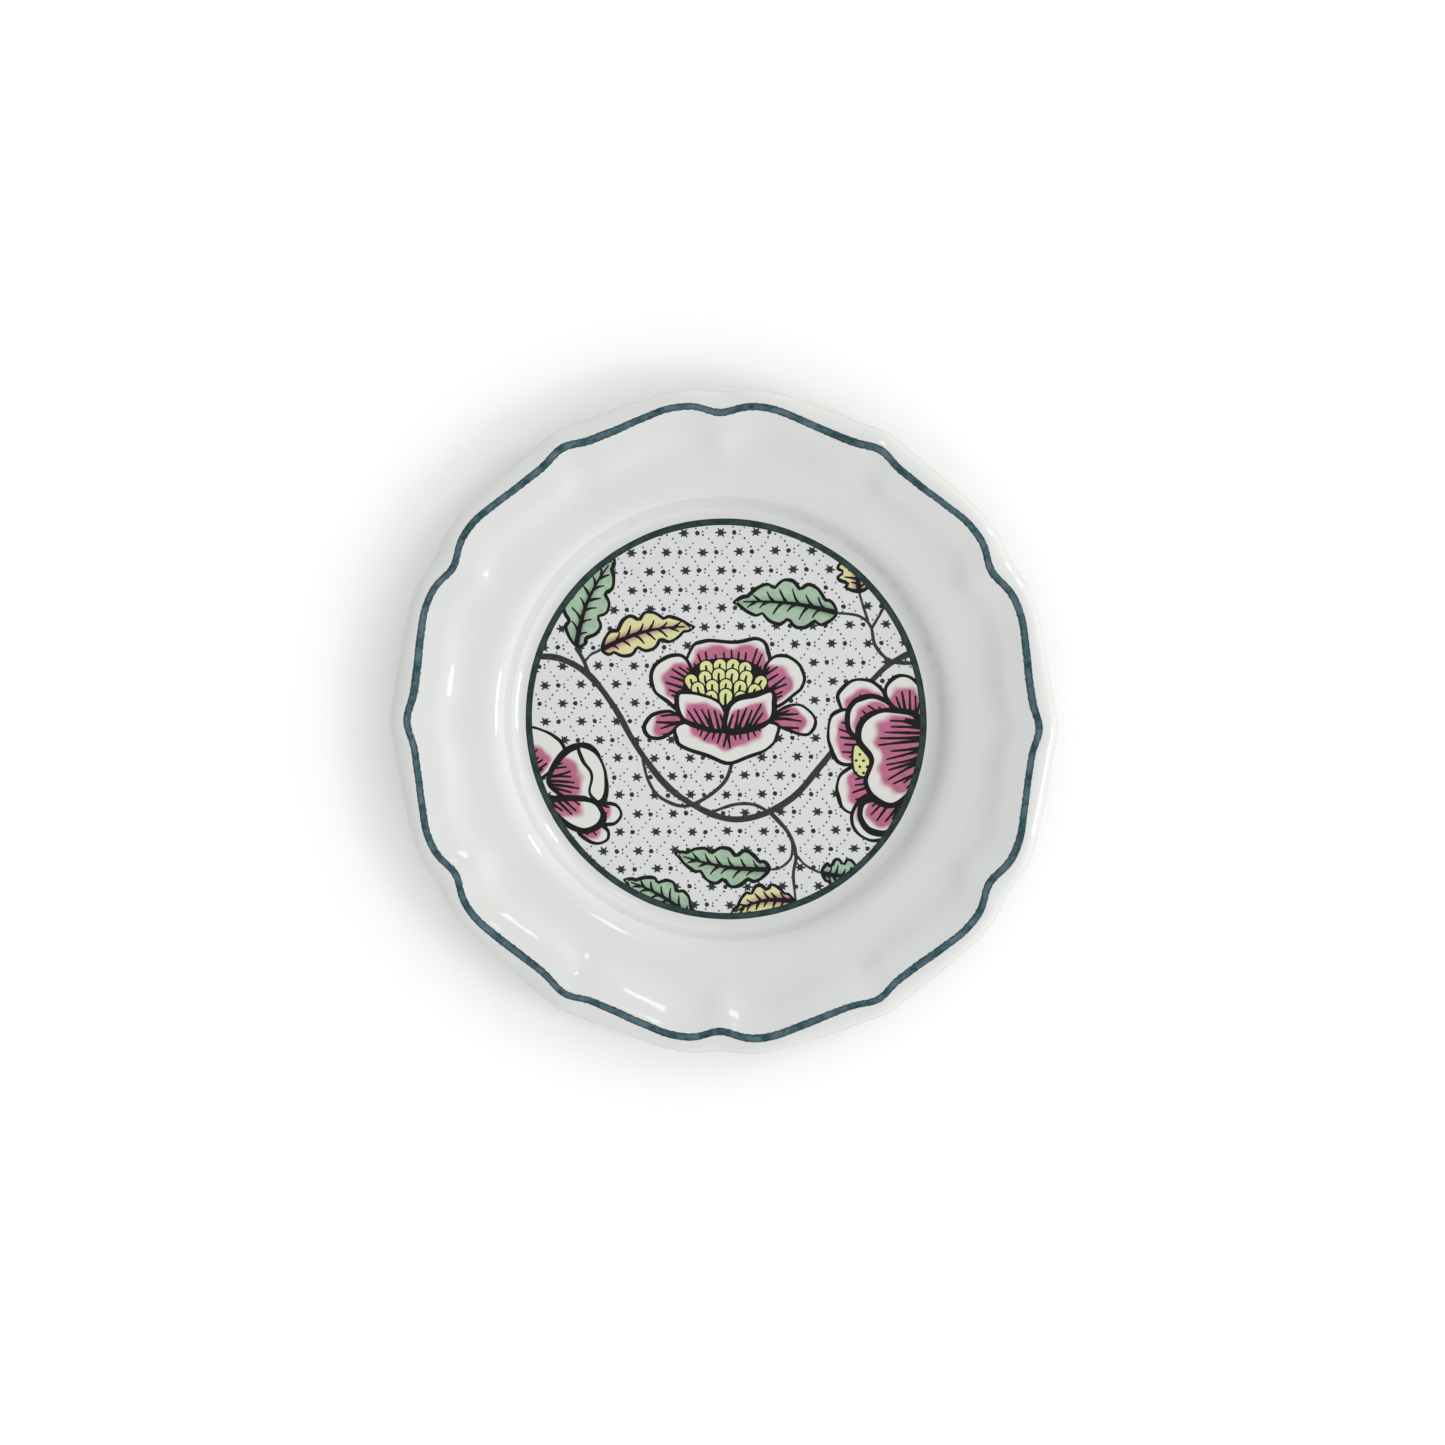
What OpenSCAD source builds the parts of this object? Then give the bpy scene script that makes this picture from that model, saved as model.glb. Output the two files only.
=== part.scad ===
/* [Plate] */
// Width across the points of the rim
plate_d = 270; // [240:1:300]
// Height of the rim's crest above the table
plate_h = 23.6; // [20:0.2:28]
// Height of the well's floor above the table
floor_z = 6.2; // [5:0.1:7]
// Thickness of the floor
floor_t = 3.8; // [3:0.1:4.4]

/* [Rim] */
// Depth of the rim's scalloping, as a share of the full pattern
scallop = 1; // [0:0.05:1.3]
// Radius of the middle of the painted line
line_r = 126.6; // [125.5:0.1:127.5]
// Width of the painted line
line_w = 2.7; // [1.5:0.1:3.5]

/* [Foot] */
// Inner radius of the foot's bearing edge
foot_inner_r = 76.4; // [70:0.2:77]
// Outer radius of the foot's bearing edge
foot_outer_r = 79.4; // [78:0.2:79.6]

/* [Decoration] */
// Thickness of a layer of ceramic colour
ink = 0.05; // [0.03:0.01:0.1]
// Outer radius of the ring round the medallion
ring_r = 82; // [80:0.5:82]
// Width of the ring round the medallion
ring_w = 2.8; // [2:0.1:4]
// Width of the printed outlines
key_w = 1; // [0.6:0.1:1.2]

/* [Hidden] */

// The width, and the rise of the rim over the floor, that the section below is drawn at.
drawn_d = 270;
drawn_rise = 17.4;
size_k = plate_d / drawn_d;
rise_k = (plate_h - floor_z) / drawn_rise;
turn_steps = 180;
under_z = floor_z - floor_t;
// Radius at which the rim's section meets the flat disc of the floor.
join_r = 82;

// The bracket outline of the rim as cosine terms: [waves in a turn, height in mm].
bracket_terms = [[6, -0.8], [18, 1.3], [24, -0.2], [30, 0.5], [42, 0.2], [54, 0.1]];
function terms_at(a, i = 0) =
    i == len(bracket_terms) ? 0
    : bracket_terms[i][1] * cos(bracket_terms[i][0] * a) + terms_at(a, i + 1);

// How far the lip swells outward at the points and notches of the outline.
lip_swell = 0.3;
lip_waves = 12;

// Rows of the face: [radius, height over the floor, share of the outline, share of the lip's swell].
face_rows = [
    [join_r, 0, 0, 0], [84, 0.1, 0, 0], [86, 1.1, 0, 0], [88.2, 3.4, 0, 0], [90.4, 6, 0, 0],
    [92.6, 7.9, 0, 0], [95.5, 9.1, 0, 0], [100, 9.9, 0.1, 0], [107, 11, 0.4, 0],
    [111, 12.2, 0.75, 0], [114, 13.6, 1, 0], [116.5, 14.7, 1.15, 0], [119.3, 15.5, 1.15, 0],
    [122.6, 16.3, 1.05, 0], [line_r - line_w / 2, 17, 1, 0], [line_r + line_w / 2, 17.4, 1, 0],
    [130.4, 17.1, 0.85, 0.3], [132.9, 16.1, 0.6, 0.8], [134.15, 14.9, 0.5, 1]
];
// Rows of the underside from the edge back to the floor, with heights over the floor's underside.
back_rows = [
    [134.05, 17.8, 0.5, 1], [132.4, 16.8, 0.6, 0.8], [124.5, 16.1, 1, 0], [119.4, 14.7, 1.05, 0],
    [107, 10.1, 0.4, 0], [97, 8.4, 0, 0], [91.5, 4.9, 0, 0], [88.5, 1.9, 0, 0], [85, 0, 0, 0],
    [join_r, 0, 0, 0]
];

function row_radius(row, a) =
    row[0] + scallop * (row[2] * terms_at(a) + row[3] * lip_swell * cos(lip_waves * a));
function row_point(row, z, a) = let (r = size_k * row_radius(row, a)) [r * cos(a), r * sin(a), z];
function face_z(row) = floor_z + row[1] * rise_k;
function back_z(row) = under_z + row[1] * rise_k;
function row_ring(row, z) = [for (i = [0:turn_steps - 1]) row_point(row, z, i * 360 / turn_steps)];

// A closed band swept round the plate: rings is a list of rings of points, and the last joins the first.
module swept_band(rings) {
    n = turn_steps;
    m = len(rings);
    polyhedron(
        points = [for (ring = rings) each ring],
        faces = [
            for (j = [0:m - 1]) for (i = [0:n - 1])
                let (a = j * n + i, b = j * n + (i + 1) % n,
                     c = ((j + 1) % m) * n + (i + 1) % n, d = ((j + 1) % m) * n + i)
                each [[a, b, c], [a, c, d]]
        ]
    );
}

// How far the floor's disc runs on inside the rim's section.
disc_lap = 0.8;

module body() {
    color([0.86, 0.87, 0.85]) {
        swept_band(concat(
            [for (row = face_rows) row_ring(row, face_z(row))],
            [for (row = back_rows) row_ring(row, back_z(row))]
        ));
        translate([0, 0, under_z]) cylinder(r = size_k * (join_r + disc_lap), h = floor_t, $fn = turn_steps);
        foot_ring();
    }
}

// The foot's ground edge is flat, with a small chamfer on each side, and its sides spread toward the floor.
foot_chamfer = 0.7;
foot_spread = 1.4;
foot_lap = 1;
module foot_ring() rotate_extrude($fn = turn_steps) {
    inner = size_k * foot_inner_r;
    outer = size_k * foot_outer_r;
    top = under_z + foot_lap;
    polygon([
        [inner - foot_chamfer - foot_spread, top], [inner - foot_chamfer, foot_chamfer], [inner, 0],
        [outer, 0], [outer + foot_chamfer, foot_chamfer], [outer + foot_chamfer + foot_spread, top]
    ]);
}

// The painted line lies on the strip of the face between its own two rows.
module rim_line() {
    line_rows = [for (row = face_rows) if (abs(row[0] - line_r) < line_w) row];
    color([0.27, 0.37, 0.43])
        swept_band([
            row_ring(line_rows[0], face_z(line_rows[0])), row_ring(line_rows[0], face_z(line_rows[0]) + ink),
            row_ring(line_rows[1], face_z(line_rows[1]) + ink), row_ring(line_rows[1], face_z(line_rows[1]))
        ]);
}

// How near the edges of two colours come to each other, and the thinnest mark that prints.
colour_gap = 0.04;
finest_mark = 0.12;

// The curve through points p: n steps between neighbours, with the ends joined or left open.
function between(a, b, c, d, t) =
    (2 * b + (c - a) * t + (2 * a - 5 * b + 4 * c - d) * t * t + (3 * b - a - 3 * c + d) * t * t * t) / 2;
function closed_curve(p, n) =
    let (m = len(p))
    [for (i = [0:m - 1]) for (k = [0:n - 1])
        between(p[(i + m - 1) % m], p[i], p[(i + 1) % m], p[(i + 2) % m], k / n)];
function open_curve(p, n) =
    let (m = len(p) - 1)
    [for (i = [0:m - 1]) for (k = [0:(i == m - 1 ? n : n - 1)])
        between(p[max(i - 1, 0)], p[i], p[i + 1], p[min(i + 2, m)], k / n)];

function across(v) = [-v[1], v[0]] / norm(v);
function toward(a, b, t) = a + (b - a) * t;
function twice_area(p, i = 0) =
    i == len(p) ? 0 : cross(p[i], p[(i + 1) % len(p)]) + twice_area(p, i + 1);
// A closed outline p moved inward by w.
function drawn_in(p, w) =
    let (m = len(p), inward = twice_area(p) > 0 ? w : -w)
    [for (i = [0:m - 1]) p[i] + inward * across(p[(i + 1) % m] - p[(i + m - 1) % m])];

// A line of width w along the inside of outline p.
module inner_line(p, w) difference() {
    polygon(p);
    polygon(drawn_in(p, w));
}

// A brush stroke along points p that changes from width w0 to width w1.
module stroke(p, w0, w1, n = 3) {
    path = open_curve(p, n);
    m = len(path) - 1;
    side = [for (i = [0:m])
        across(path[min(i + 1, m)] - path[max(i - 1, 0)]) * toward(w0, w1, i / m) / 2];
    polygon(concat([for (i = [0:m]) path[i] + side[i]], [for (i = [m:-1:0]) path[i] - side[i]]));
}

// Vines: [width at the start, width at the end, points], in millimetres from the plate's middle.
vines = [
    [2.6, 2.4, [[-80, 25], [-68, 24.5], [-56, 18], [-45.5, 5], [-36, -11.5], [-24, -27], [-11, -36],
                [2, -40.5], [15, -38.5], [28, -31], [38, -19.5], [44, -12]]],
    [1.2, 1.6, [[-34, -15], [-31.5, -25], [-26.5, -32], [-17, -35.5], [-8, -32], [0, -25], [3, -17]]],
    [1.3, 1.3, [[-6, -38], [4, -34.5], [12, -34.5], [19, -38]]],
    [1.8, 1, [[19, -38], [26, -46], [29, -55], [28, -63], [29, -74]]],
    [1, 1, [[27.5, -50], [27, -56], [23, -60], [19, -61]]],
    [1, 1, [[28.5, -54], [33, -59], [39, -62]]],
    [1.6, 1.6, [[-56, 19], [-58, 24], [-61, 29]]],
    [1, 1, [[-57.5, 23], [-55, 26], [-51, 28]]],
    [2.6, 2.2, [[82, 30], [74, 27.5], [66, 23], [59, 16]]],
    [1.6, 1, [[76, 24], [67, 25], [61, 31], [59, 39], [54, 43], [46, 44]]],
    [1.2, 1, [[59.5, 38], [63, 44], [66, 50]]],
    [1.2, 1, [[58, 41], [56, 47], [54.5, 52]]]
];
module vine_shape() for (vine = vines) stroke(vine[2], vine[0], vine[1]);

// Leaves: [foot of the leaf, tip, half width, bow of its rib, colour].
leaves = [
    [[-61, 29], [-45, 66], 9, 3, "green"],
    [[-51, 28], [-12, 38], 8, 3, "yellow"],
    [[46, 44], [3, 48], 9.5, -2, "green"],
    [[54.5, 52], [52, 72], 8, 0, "yellow"],
    [[66, 50], [82, 42], 6, 0, "green"],
    [[19, -61], [-21, -55], 8, 2, "green"],
    [[-12, -83], [-42, -66], 7.5, -2, "green"],
    [[29, -74], [2, -80], 7, -3, "yellow"],
    [[39, -62], [60, -60], 7, -2, "green"]
];
// Lobes down each side of a leaf, how deep the notches between them are, and where each side's lobes start.
leaf_lobes = 4;
lobe_depth = 0.34;
lobe_swell = 1.08;
left_shift = 0.15;
right_shift = 0.5;
leaf_steps = 24;
// The point at share t of a leaf's length and share s of its half width; side is -1 or 1.
function leaf_point(leaf, t, side, s = 1) =
    let (
        swell = pow(sin(180 * pow(t, 0.8)), 0.75),
        shift = side > 0 ? left_shift : right_shift,
        lobe = lobe_swell - lobe_depth * pow(1 - abs(sin(180 * (leaf_lobes * t + shift))), 1.5)
    )
    toward(leaf[0], leaf[1], t)
    + across(leaf[1] - leaf[0]) * (side * s * leaf[2] * swell * lobe + leaf[3] * sin(180 * t));
function leaf_edge(leaf) = concat(
    [for (i = [0:leaf_steps]) leaf_point(leaf, i / leaf_steps, 1)],
    [for (i = [leaf_steps - 1:-1:1]) leaf_point(leaf, i / leaf_steps, -1)]
);
module leaf_shape(leaf) polygon(leaf_edge(leaf));
// The rib tapers toward the leaf's tip, and the veins leave it in pairs.
rib_w = 1.3;
rib_end_w = 0.5;
vein_root = 0.022;
vein_slant = 0.08;
vein_reach = 0.5;
module leaf_veins(leaf) {
    stroke([for (t = [0, 0.3, 0.6, 0.86]) leaf_point(leaf, t, 1, 0)], rib_w, rib_end_w);
    for (t = [0.18:0.13:0.72]) for (side = [-1, 1])
        polygon([
            leaf_point(leaf, t - vein_root, 1, 0),
            leaf_point(leaf, t + vein_root, 1, 0),
            leaf_point(leaf, t + vein_slant, side, vein_reach)
        ]);
}
module green_leaves() for (leaf = leaves) if (leaf[4] == "green") leaf_shape(leaf);
module yellow_leaves() for (leaf = leaves) if (leaf[4] == "yellow") leaf_shape(leaf);

// Petals from the back to the front: [where its marks spread from, reach of the pink, points of its edge].
petals = [
    // the middle flower's back petals, and its first front petal, number 5
    [[1, 10], 0.88, [[-15, 17], [-14, 29.5], [-8, 33], [4, 32.5], [13, 34], [18, 29.5], [16.5, 17]]],
    [[-9, 10], 0.76, [[-13, 19], [-17, 26.5], [-24.5, 26], [-30.5, 20.5], [-30, 12.5], [-24.5, 7], [-17, 3]]],
    [[11, 10], 0.76, [[15, 19], [19, 26], [25, 27], [31, 23], [33, 16.5], [29.5, 11], [19, 5]]],
    [[-13, -1], 0.8, [[-17, 1], [-23, 4], [-30, 2.5], [-34, -3], [-31.5, -8], [-25, -8], [-18, -3]]],
    [[15, 0], 0.8, [[19, 2], [25, 6.5], [32, 6.5], [37.5, 0.5], [35, -5.5], [28.5, -5.5], [20, -1.5]]],
    [[1, 2], 0.7, [[-17, -1], [-20.5, -9], [-15, -13], [-7, -15.5], [1, -18.5], [9, -16], [17, -12.5],
                   [21.5, -7], [19, 0]]],
    [[-4, -9], 0.77, [[-20, 7], [-18.5, 11.5], [-10, 11], [-2.5, 8], [0.3, 3], [0.3, -4.5], [-10, -3.5],
                      [-17.5, 0]]],
    [[5, -9], 0.77, [[20.5, 7], [19, 12.5], [11, 10.5], [4, 8.5], [0.3, 3], [0.3, -4.5], [11, -3.5],
                     [18.5, 0]]],
    // the flower at the right
    [[75, -6], 0.8, [[66, 8], [65, 15], [70, 19.5], [77, 18], [82, 10], [80, 0]]],
    [[63, -5], 0.8, [[66, 9], [60, 17], [51, 17], [45.5, 12], [46, 6.5], [50, 0], [58, -4]]],
    [[61, -8], 0.8, [[52, 4], [44, 4], [41.5, -3], [42, -10], [45.5, -17], [52, -18], [60, -12]]],
    [[68, -5], 0.84, [[68, 5], [61, 10.5], [53.5, 9], [49.5, 3], [50.5, -4], [57, -7]]],
    [[66, -24], 0.78, [[58, -17], [48, -20], [45, -27], [47, -35], [53, -38], [62, -34]]],
    [[67, -24], 0.82, [[56, -30], [51, -38], [53, -45], [60, -49], [68, -47], [72, -38], [68, -28]]],
    [[72, -28], 0.84, [[58, -32], [55, -38.5], [58, -44], [65, -45.5], [72, -41], [74, -33]]],
    [[86, -9], 0.8, [[79, 1], [71, 4.5], [62.5, 4.5], [55.5, -0.5], [54.5, -8], [59.5, -15.5], [57, -24],
                     [60, -31], [67.5, -34], [76, -29], [82, -20]]],
    // the flower at the left
    [[-84, -24], 0.64, [[-82, -5], [-74, -5], [-67, -9], [-65.5, -15], [-72, -23], [-82, -27]]],
    [[-78, -26], 0.66, [[-66, -14], [-58, -11], [-52.5, -15], [-49, -24], [-49.5, -33], [-56, -38], [-64, -34],
                        [-73, -26]]],
    [[-72, -20], 0.2, [[-60.5, -11], [-53, -13.5], [-48.7, -21], [-48.3, -30], [-52, -35], [-56, -31],
                       [-55.5, -23], [-59.5, -17]]],
    [[-62, -34], 0.78, [[-52, -35], [-45, -34.5], [-42, -39.5], [-46, -44], [-54, -43]]],
    [[-62, -40], 0.78, [[-55, -42], [-48, -45], [-48, -50], [-54, -52], [-61, -47]]],
    [[-76, -28], 0.68, [[-56, -33], [-50, -38], [-51, -43.5], [-58, -46.5], [-66, -43], [-73, -34]]]
];
petal_steps = 4;
last_petal = len(petals) - 1;
// The middle flower's stamens lie behind petal 6, and the right flower's seed patch behind petal 13.
stamen_cover = 6;
seed_cover = 15;
function petal_edge(i) = closed_curve(petals[i][2], petal_steps);
module petal_shape(i) polygon(petal_edge(i));
module all_petals() for (i = [0:last_petal]) petal_shape(i);

// Petals whose middles are farther apart than this never overlap.
petal_span = 45;
// What shows of a petal's marks once the petals in front of it are laid over them.
module in_sight(i) difference() {
    children();
    for (j = [i + 1:1:last_petal])
        if (norm(petals[i][0] - petals[j][0]) < petal_span) petal_shape(j);
}

module pink_shape() for (i = [0:last_petal]) in_sight(i) intersection() {
    petal_shape(i);
    polygon([for (p = petal_edge(i)) toward(petals[i][0], p, petals[i][1])]);
}

// Dark strokes that run out from the petal's foot, narrowing, and stop short of the pink's edge.
hatch_w = 1.3;
hatch_tip_w = 0.6;
hatch_short = 0.08;
hatch_least = 9;
// The strokes spread from a point this far behind the foot, as a share of the way to the petal's middle.
hatch_set_back = 0.9;
function middle_of(points) = [for (p = points) 1] * points / len(points);
module petal_hatching(i) {
    from = petals[i][0];
    edge = closed_curve(petals[i][2], 2);
    behind = toward(from, middle_of(petals[i][2]), -hatch_set_back);
    for (k = [1:2:len(edge) - 1]) if (norm(edge[k] - from) > hatch_least) {
        end = toward(from, edge[k], petals[i][1] - hatch_short);
        root = toward(end, behind, norm(end - from) / norm(end - behind));
        side = across(end - root) / 2;
        polygon([
            root + side * hatch_w, root - side * hatch_w,
            end - side * hatch_tip_w, end + side * hatch_tip_w
        ]);
    }
}

// The middle flower's dark heart, and rows of stamens over it: [height, first x, last x, how many].
heart_edge = [[-17, 15], [-12.5, 22], [-5, 25], [6, 25], [14, 22], [17.5, 15.5], [16.5, 8], [0.5, -2],
              [-15.5, 8]];
stamen_rows = [[22.3, -7.5, 8.5, 4], [18.4, -14, 14.6, 6], [14.2, -11, 12, 5], [10, -5.6, 6.6, 3]];
// A row of stamens droops toward its ends.
row_droop = 0.012;
stamen_w = 6.2;
stamen_h = 7;
stamen_gap = 0.8;
slit_w = 0.6;
arch_steps = 6;
stamens = [for (row = stamen_rows) for (k = [0:row[3] - 1])
    let (x = toward(row[1], row[2], k / (row[3] - 1))) [x, row[0] - row_droop * x * x]];
// A stamen is an arch that narrows toward its foot.
function stamen_edge(place, w) = concat(
    [for (k = [0:arch_steps]) place + w / 2 * [cos(180 * k / arch_steps), sin(180 * k / arch_steps)]],
    [place + [-w / 3, stamen_w / 2 - stamen_h], place + [w / 3, stamen_w / 2 - stamen_h]]
);
module stamens_shape() for (k = [0:len(stamens) - 1]) difference() {
    polygon(stamen_edge(stamens[k], stamen_w - stamen_gap));
    translate(stamens[k] - [slit_w / 2, stamen_h]) square([slit_w, stamen_h]);
    for (j = [k + 1:1:len(stamens) - 1])
        if (norm(stamens[k] - stamens[j]) < 2 * stamen_w) polygon(stamen_edge(stamens[j], stamen_w));
}

// A small seed patch shows between the right flower's petals.
seed_points = [[52, -9.5], [57, -10.5], [61, -17], [57, -23], [52, -20]];
seed_edge = closed_curve(seed_points, petal_steps);

module dark_heart() in_sight(stamen_cover - 1) polygon(closed_curve(heart_edge, petal_steps));
module yellow_heart_shape() {
    in_sight(stamen_cover - 1) stamens_shape();
    in_sight(seed_cover - 1) polygon(seed_edge);
}

module leaf_lines() for (leaf = leaves) {
    inner_line(leaf_edge(leaf), key_w);
    leaf_veins(leaf);
}
module petal_lines() for (i = [0:last_petal]) in_sight(i) {
    inner_line(petal_edge(i), key_w);
    intersection() {
        petal_shape(i);
        petal_hatching(i);
    }
}
module seed_lines() in_sight(seed_cover - 1) inner_line(seed_edge, key_w);
module key_shape() {
    difference() {
        union() {
            petal_lines();
            dark_heart();
        }
        yellow_heart_shape();
    }
    leaf_lines();
    seed_lines();
}

// The ground: stars in staggered rows that rise a little to the right, with a dot after each star.
star_step = [14.7, 7.6];
star_points = 7;
star_outer_r = 2.1;
star_inner_r = 0.95;
dot_r = 1;
dot_place = [5.4, 0];
row_rise = 1.4;
star_turn = [23, 37];
ground_rows = 11;
ground_cols = 6;
module star(turn) polygon([for (k = [0:2 * star_points - 1])
    let (r = k % 2 == 0 ? star_outer_r : star_inner_r, a = turn + k * 180 / star_points)
    r * [cos(a), sin(a)]]);
module ground_print() rotate(row_rise)
    for (row = [-ground_rows:ground_rows]) for (col = [-ground_cols:ground_cols])
        let (place = [(col + (row % 2 == 0 ? 0 : 0.5)) * star_step[0], row * star_step[1]])
        if (norm(place) < ring_r) {
            translate(place) star(star_turn * [col, row]);
            translate(place + dot_place) circle(r = dot_r, $fn = 6);
        }

module inside_ring() intersection() {
    circle(r = ring_r - ring_w, $fn = turn_steps);
    children();
}

// Every colour lies flush in one layer on the well's floor.
module print_layer(paint)
    color(paint) translate([0, 0, floor_z]) linear_extrude(ink)
        offset(delta = (finest_mark - colour_gap) / 2) offset(delta = -finest_mark / 2)
            scale(size_k) inside_ring() children();

module medallion_ring() {
    color([0.13, 0.2, 0.2])
        rotate_extrude($fn = turn_steps)
            translate([size_k * (ring_r - ring_w), floor_z]) square([size_k * ring_w, ink]);
}

module star_print() print_layer([0.25, 0.26, 0.28]) difference() {
    ground_print();
    for (leaf = leaves) leaf_shape(leaf);
    all_petals();
    vine_shape();
}

module vine_print() print_layer([0.24, 0.25, 0.27]) difference() {
    vine_shape();
    for (leaf = leaves) leaf_shape(leaf);
    all_petals();
}

module green_leaf_wash() print_layer([0.54, 0.64, 0.53]) difference() {
    green_leaves();
    all_petals();
    key_shape();
}

module yellow_leaf_wash() print_layer([0.78, 0.76, 0.55]) difference() {
    yellow_leaves();
    all_petals();
    key_shape();
}

module petal_cream() print_layer([0.83, 0.83, 0.8]) difference() {
    all_petals();
    pink_shape();
    yellow_heart_shape();
    key_shape();
}

module petal_pink() print_layer([0.7, 0.4, 0.52]) difference() {
    pink_shape();
    yellow_heart_shape();
    key_shape();
}

module stamen_yellow() print_layer([0.8, 0.8, 0.55]) difference() {
    yellow_heart_shape();
    seed_lines();
}

module key_print() print_layer([0.13, 0.13, 0.14]) key_shape();

body();
rim_line();
medallion_ring();
star_print();
vine_print();
green_leaf_wash();
yellow_leaf_wash();
petal_cream();
petal_pink();
stamen_yellow();
key_print();
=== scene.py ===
import math
import random

import bpy
import numpy as np
from mathutils import Matrix, Vector
from mathutils.geometry import delaunay_2d_cdt


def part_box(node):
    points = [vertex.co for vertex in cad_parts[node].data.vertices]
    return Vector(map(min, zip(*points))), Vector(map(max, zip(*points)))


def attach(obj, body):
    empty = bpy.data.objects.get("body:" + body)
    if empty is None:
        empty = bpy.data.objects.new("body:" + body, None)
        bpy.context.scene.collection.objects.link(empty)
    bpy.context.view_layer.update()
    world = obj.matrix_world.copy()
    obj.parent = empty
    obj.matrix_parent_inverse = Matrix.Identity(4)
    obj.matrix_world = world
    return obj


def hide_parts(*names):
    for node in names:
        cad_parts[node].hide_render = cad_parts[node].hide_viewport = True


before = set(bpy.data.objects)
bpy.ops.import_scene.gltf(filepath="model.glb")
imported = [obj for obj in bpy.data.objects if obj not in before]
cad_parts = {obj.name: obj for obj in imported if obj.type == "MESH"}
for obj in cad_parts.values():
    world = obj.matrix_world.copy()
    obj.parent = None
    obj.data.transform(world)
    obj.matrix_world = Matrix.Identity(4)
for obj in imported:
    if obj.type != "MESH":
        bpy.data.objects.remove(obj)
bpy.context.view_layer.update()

MM = 0.001

# ---------------- sizes, in millimetres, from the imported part
body_low, body_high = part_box("body")
ring_low, ring_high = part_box("medallion_ring")
# The width and the rise that the rows below are drawn at; SIZE_K and RISE_K fit them to the part.
DRAWN_WIDTH = 270.0
DRAWN_RISE = 17.4
SIZE_K = (body_high.x - body_low.x) / MM / DRAWN_WIDTH
FLOOR_Z = ring_low.z / MM
FLOOR_T = 3.8
UNDER_Z = FLOOR_Z - FLOOR_T
RISE_K = (body_high.z / MM - FLOOR_Z) / DRAWN_RISE
RING_R = ring_high.x / MM / SIZE_K
RING_W = 2.8
ART_R = RING_R - RING_W
INK = (ring_high.z - ring_low.z) / MM
LINE_R = 126.6
LINE_W = 2.7
FOOT_INNER_R = 76.4
FOOT_OUTER_R = 79.4

# Waves round the rim: how many, and how high.
BRACKET_TERMS = [(6, -0.8), (18, 1.3), (24, -0.2), (30, 0.5), (42, 0.2), (54, 0.1)]
LIP_SWELL = 0.3
LIP_WAVES = 12

# Radii of the rings of points on the flat floor, with a close pair at the edge of the printed ground.
FLOOR_RADII = (3, 20, 45, 66, 76, ART_R - 0.05, ART_R + 0.05, 81)
# Rows of the face: radius, height over the floor, share of the bracket outline, share of the lip's swell.
FACE_ROWS = [
    (82, 0, 0, 0), (84, 0.1, 0, 0), (86, 1.1, 0, 0), (88.2, 3.4, 0, 0), (90.4, 6, 0, 0),
    (92.6, 7.9, 0, 0), (95.5, 9.1, 0, 0), (100, 9.9, 0.1, 0), (107, 11, 0.4, 0),
    (111, 12.2, 0.75, 0), (114, 13.6, 1, 0), (116.5, 14.7, 1.15, 0), (119.3, 15.5, 1.15, 0),
    (122.6, 16.3, 1.05, 0), (LINE_R - LINE_W / 2, 17, 1, 0), (LINE_R + LINE_W / 2, 17.4, 1, 0),
    (130.4, 17.1, 0.85, 0.3), (132.9, 16.1, 0.6, 0.8), (134.15, 14.9, 0.5, 1),
]
# Rows of the underside, from the edge back to the floor, with heights over the floor's underside.
BACK_ROWS = [
    (134.05, 17.8, 0.5, 1), (132.4, 16.8, 0.6, 0.8), (124.5, 16.1, 1, 0), (119.4, 14.7, 1.05, 0),
    (107, 10.1, 0.4, 0), (97, 8.4, 0, 0), (91.5, 4.9, 0, 0), (88.5, 1.9, 0, 0), (85, 0, 0, 0),
]
# Rows of the foot ring and the recess inside it, with heights from the surface that the plate stands on.
FOOT_ROWS = [
    (84, UNDER_Z, 0, 0), (82.2, UNDER_Z - 0.04, 0, 0), (81.3, UNDER_Z - 0.25, 0, 0), (80.75, 1.7, 0, 0),
    (80.4, 1.1, 0, 0), (80.15, 0.55, 0, 0), (79.85, 0.2, 0, 0), (FOOT_OUTER_R, 0, 0, 0),
    (FOOT_INNER_R, 0, 0, 0), (75.95, 0.2, 0, 0), (75.65, 0.55, 0, 0), (75.4, 1.1, 0, 0), (75.05, 1.7, 0, 0),
    (74.5, UNDER_Z - 0.25, 0, 0), (73.6, UNDER_Z - 0.04, 0, 0), (72, UNDER_Z, 0, 0), (60, UNDER_Z, 0, 0),
    (30, UNDER_Z, 0, 0), (3, UNDER_Z, 0, 0),
]
# The first and the last of the foot's rows that carry no glaze.
BARE_ROWS = (5, 10)
# Where the outer lip is tinted brownish: outside what radius, over what width, by what share, and how far
# below the crest.
LIP_FROM, LIP_FADE, LIP_BROWN_SHARE, LIP_BELOW_CREST = 133.2, 0.8, 0.45, 1.6
FACE_SPACING = 0.85
BACK_SPACING = 1.5
TURN_STEPS = 540


def bracket(angle):
    """Height of the bracket outline's waves at an angle, in millimetres."""
    return sum(h * np.cos(n * angle) for n, h in BRACKET_TERMS)


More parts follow.
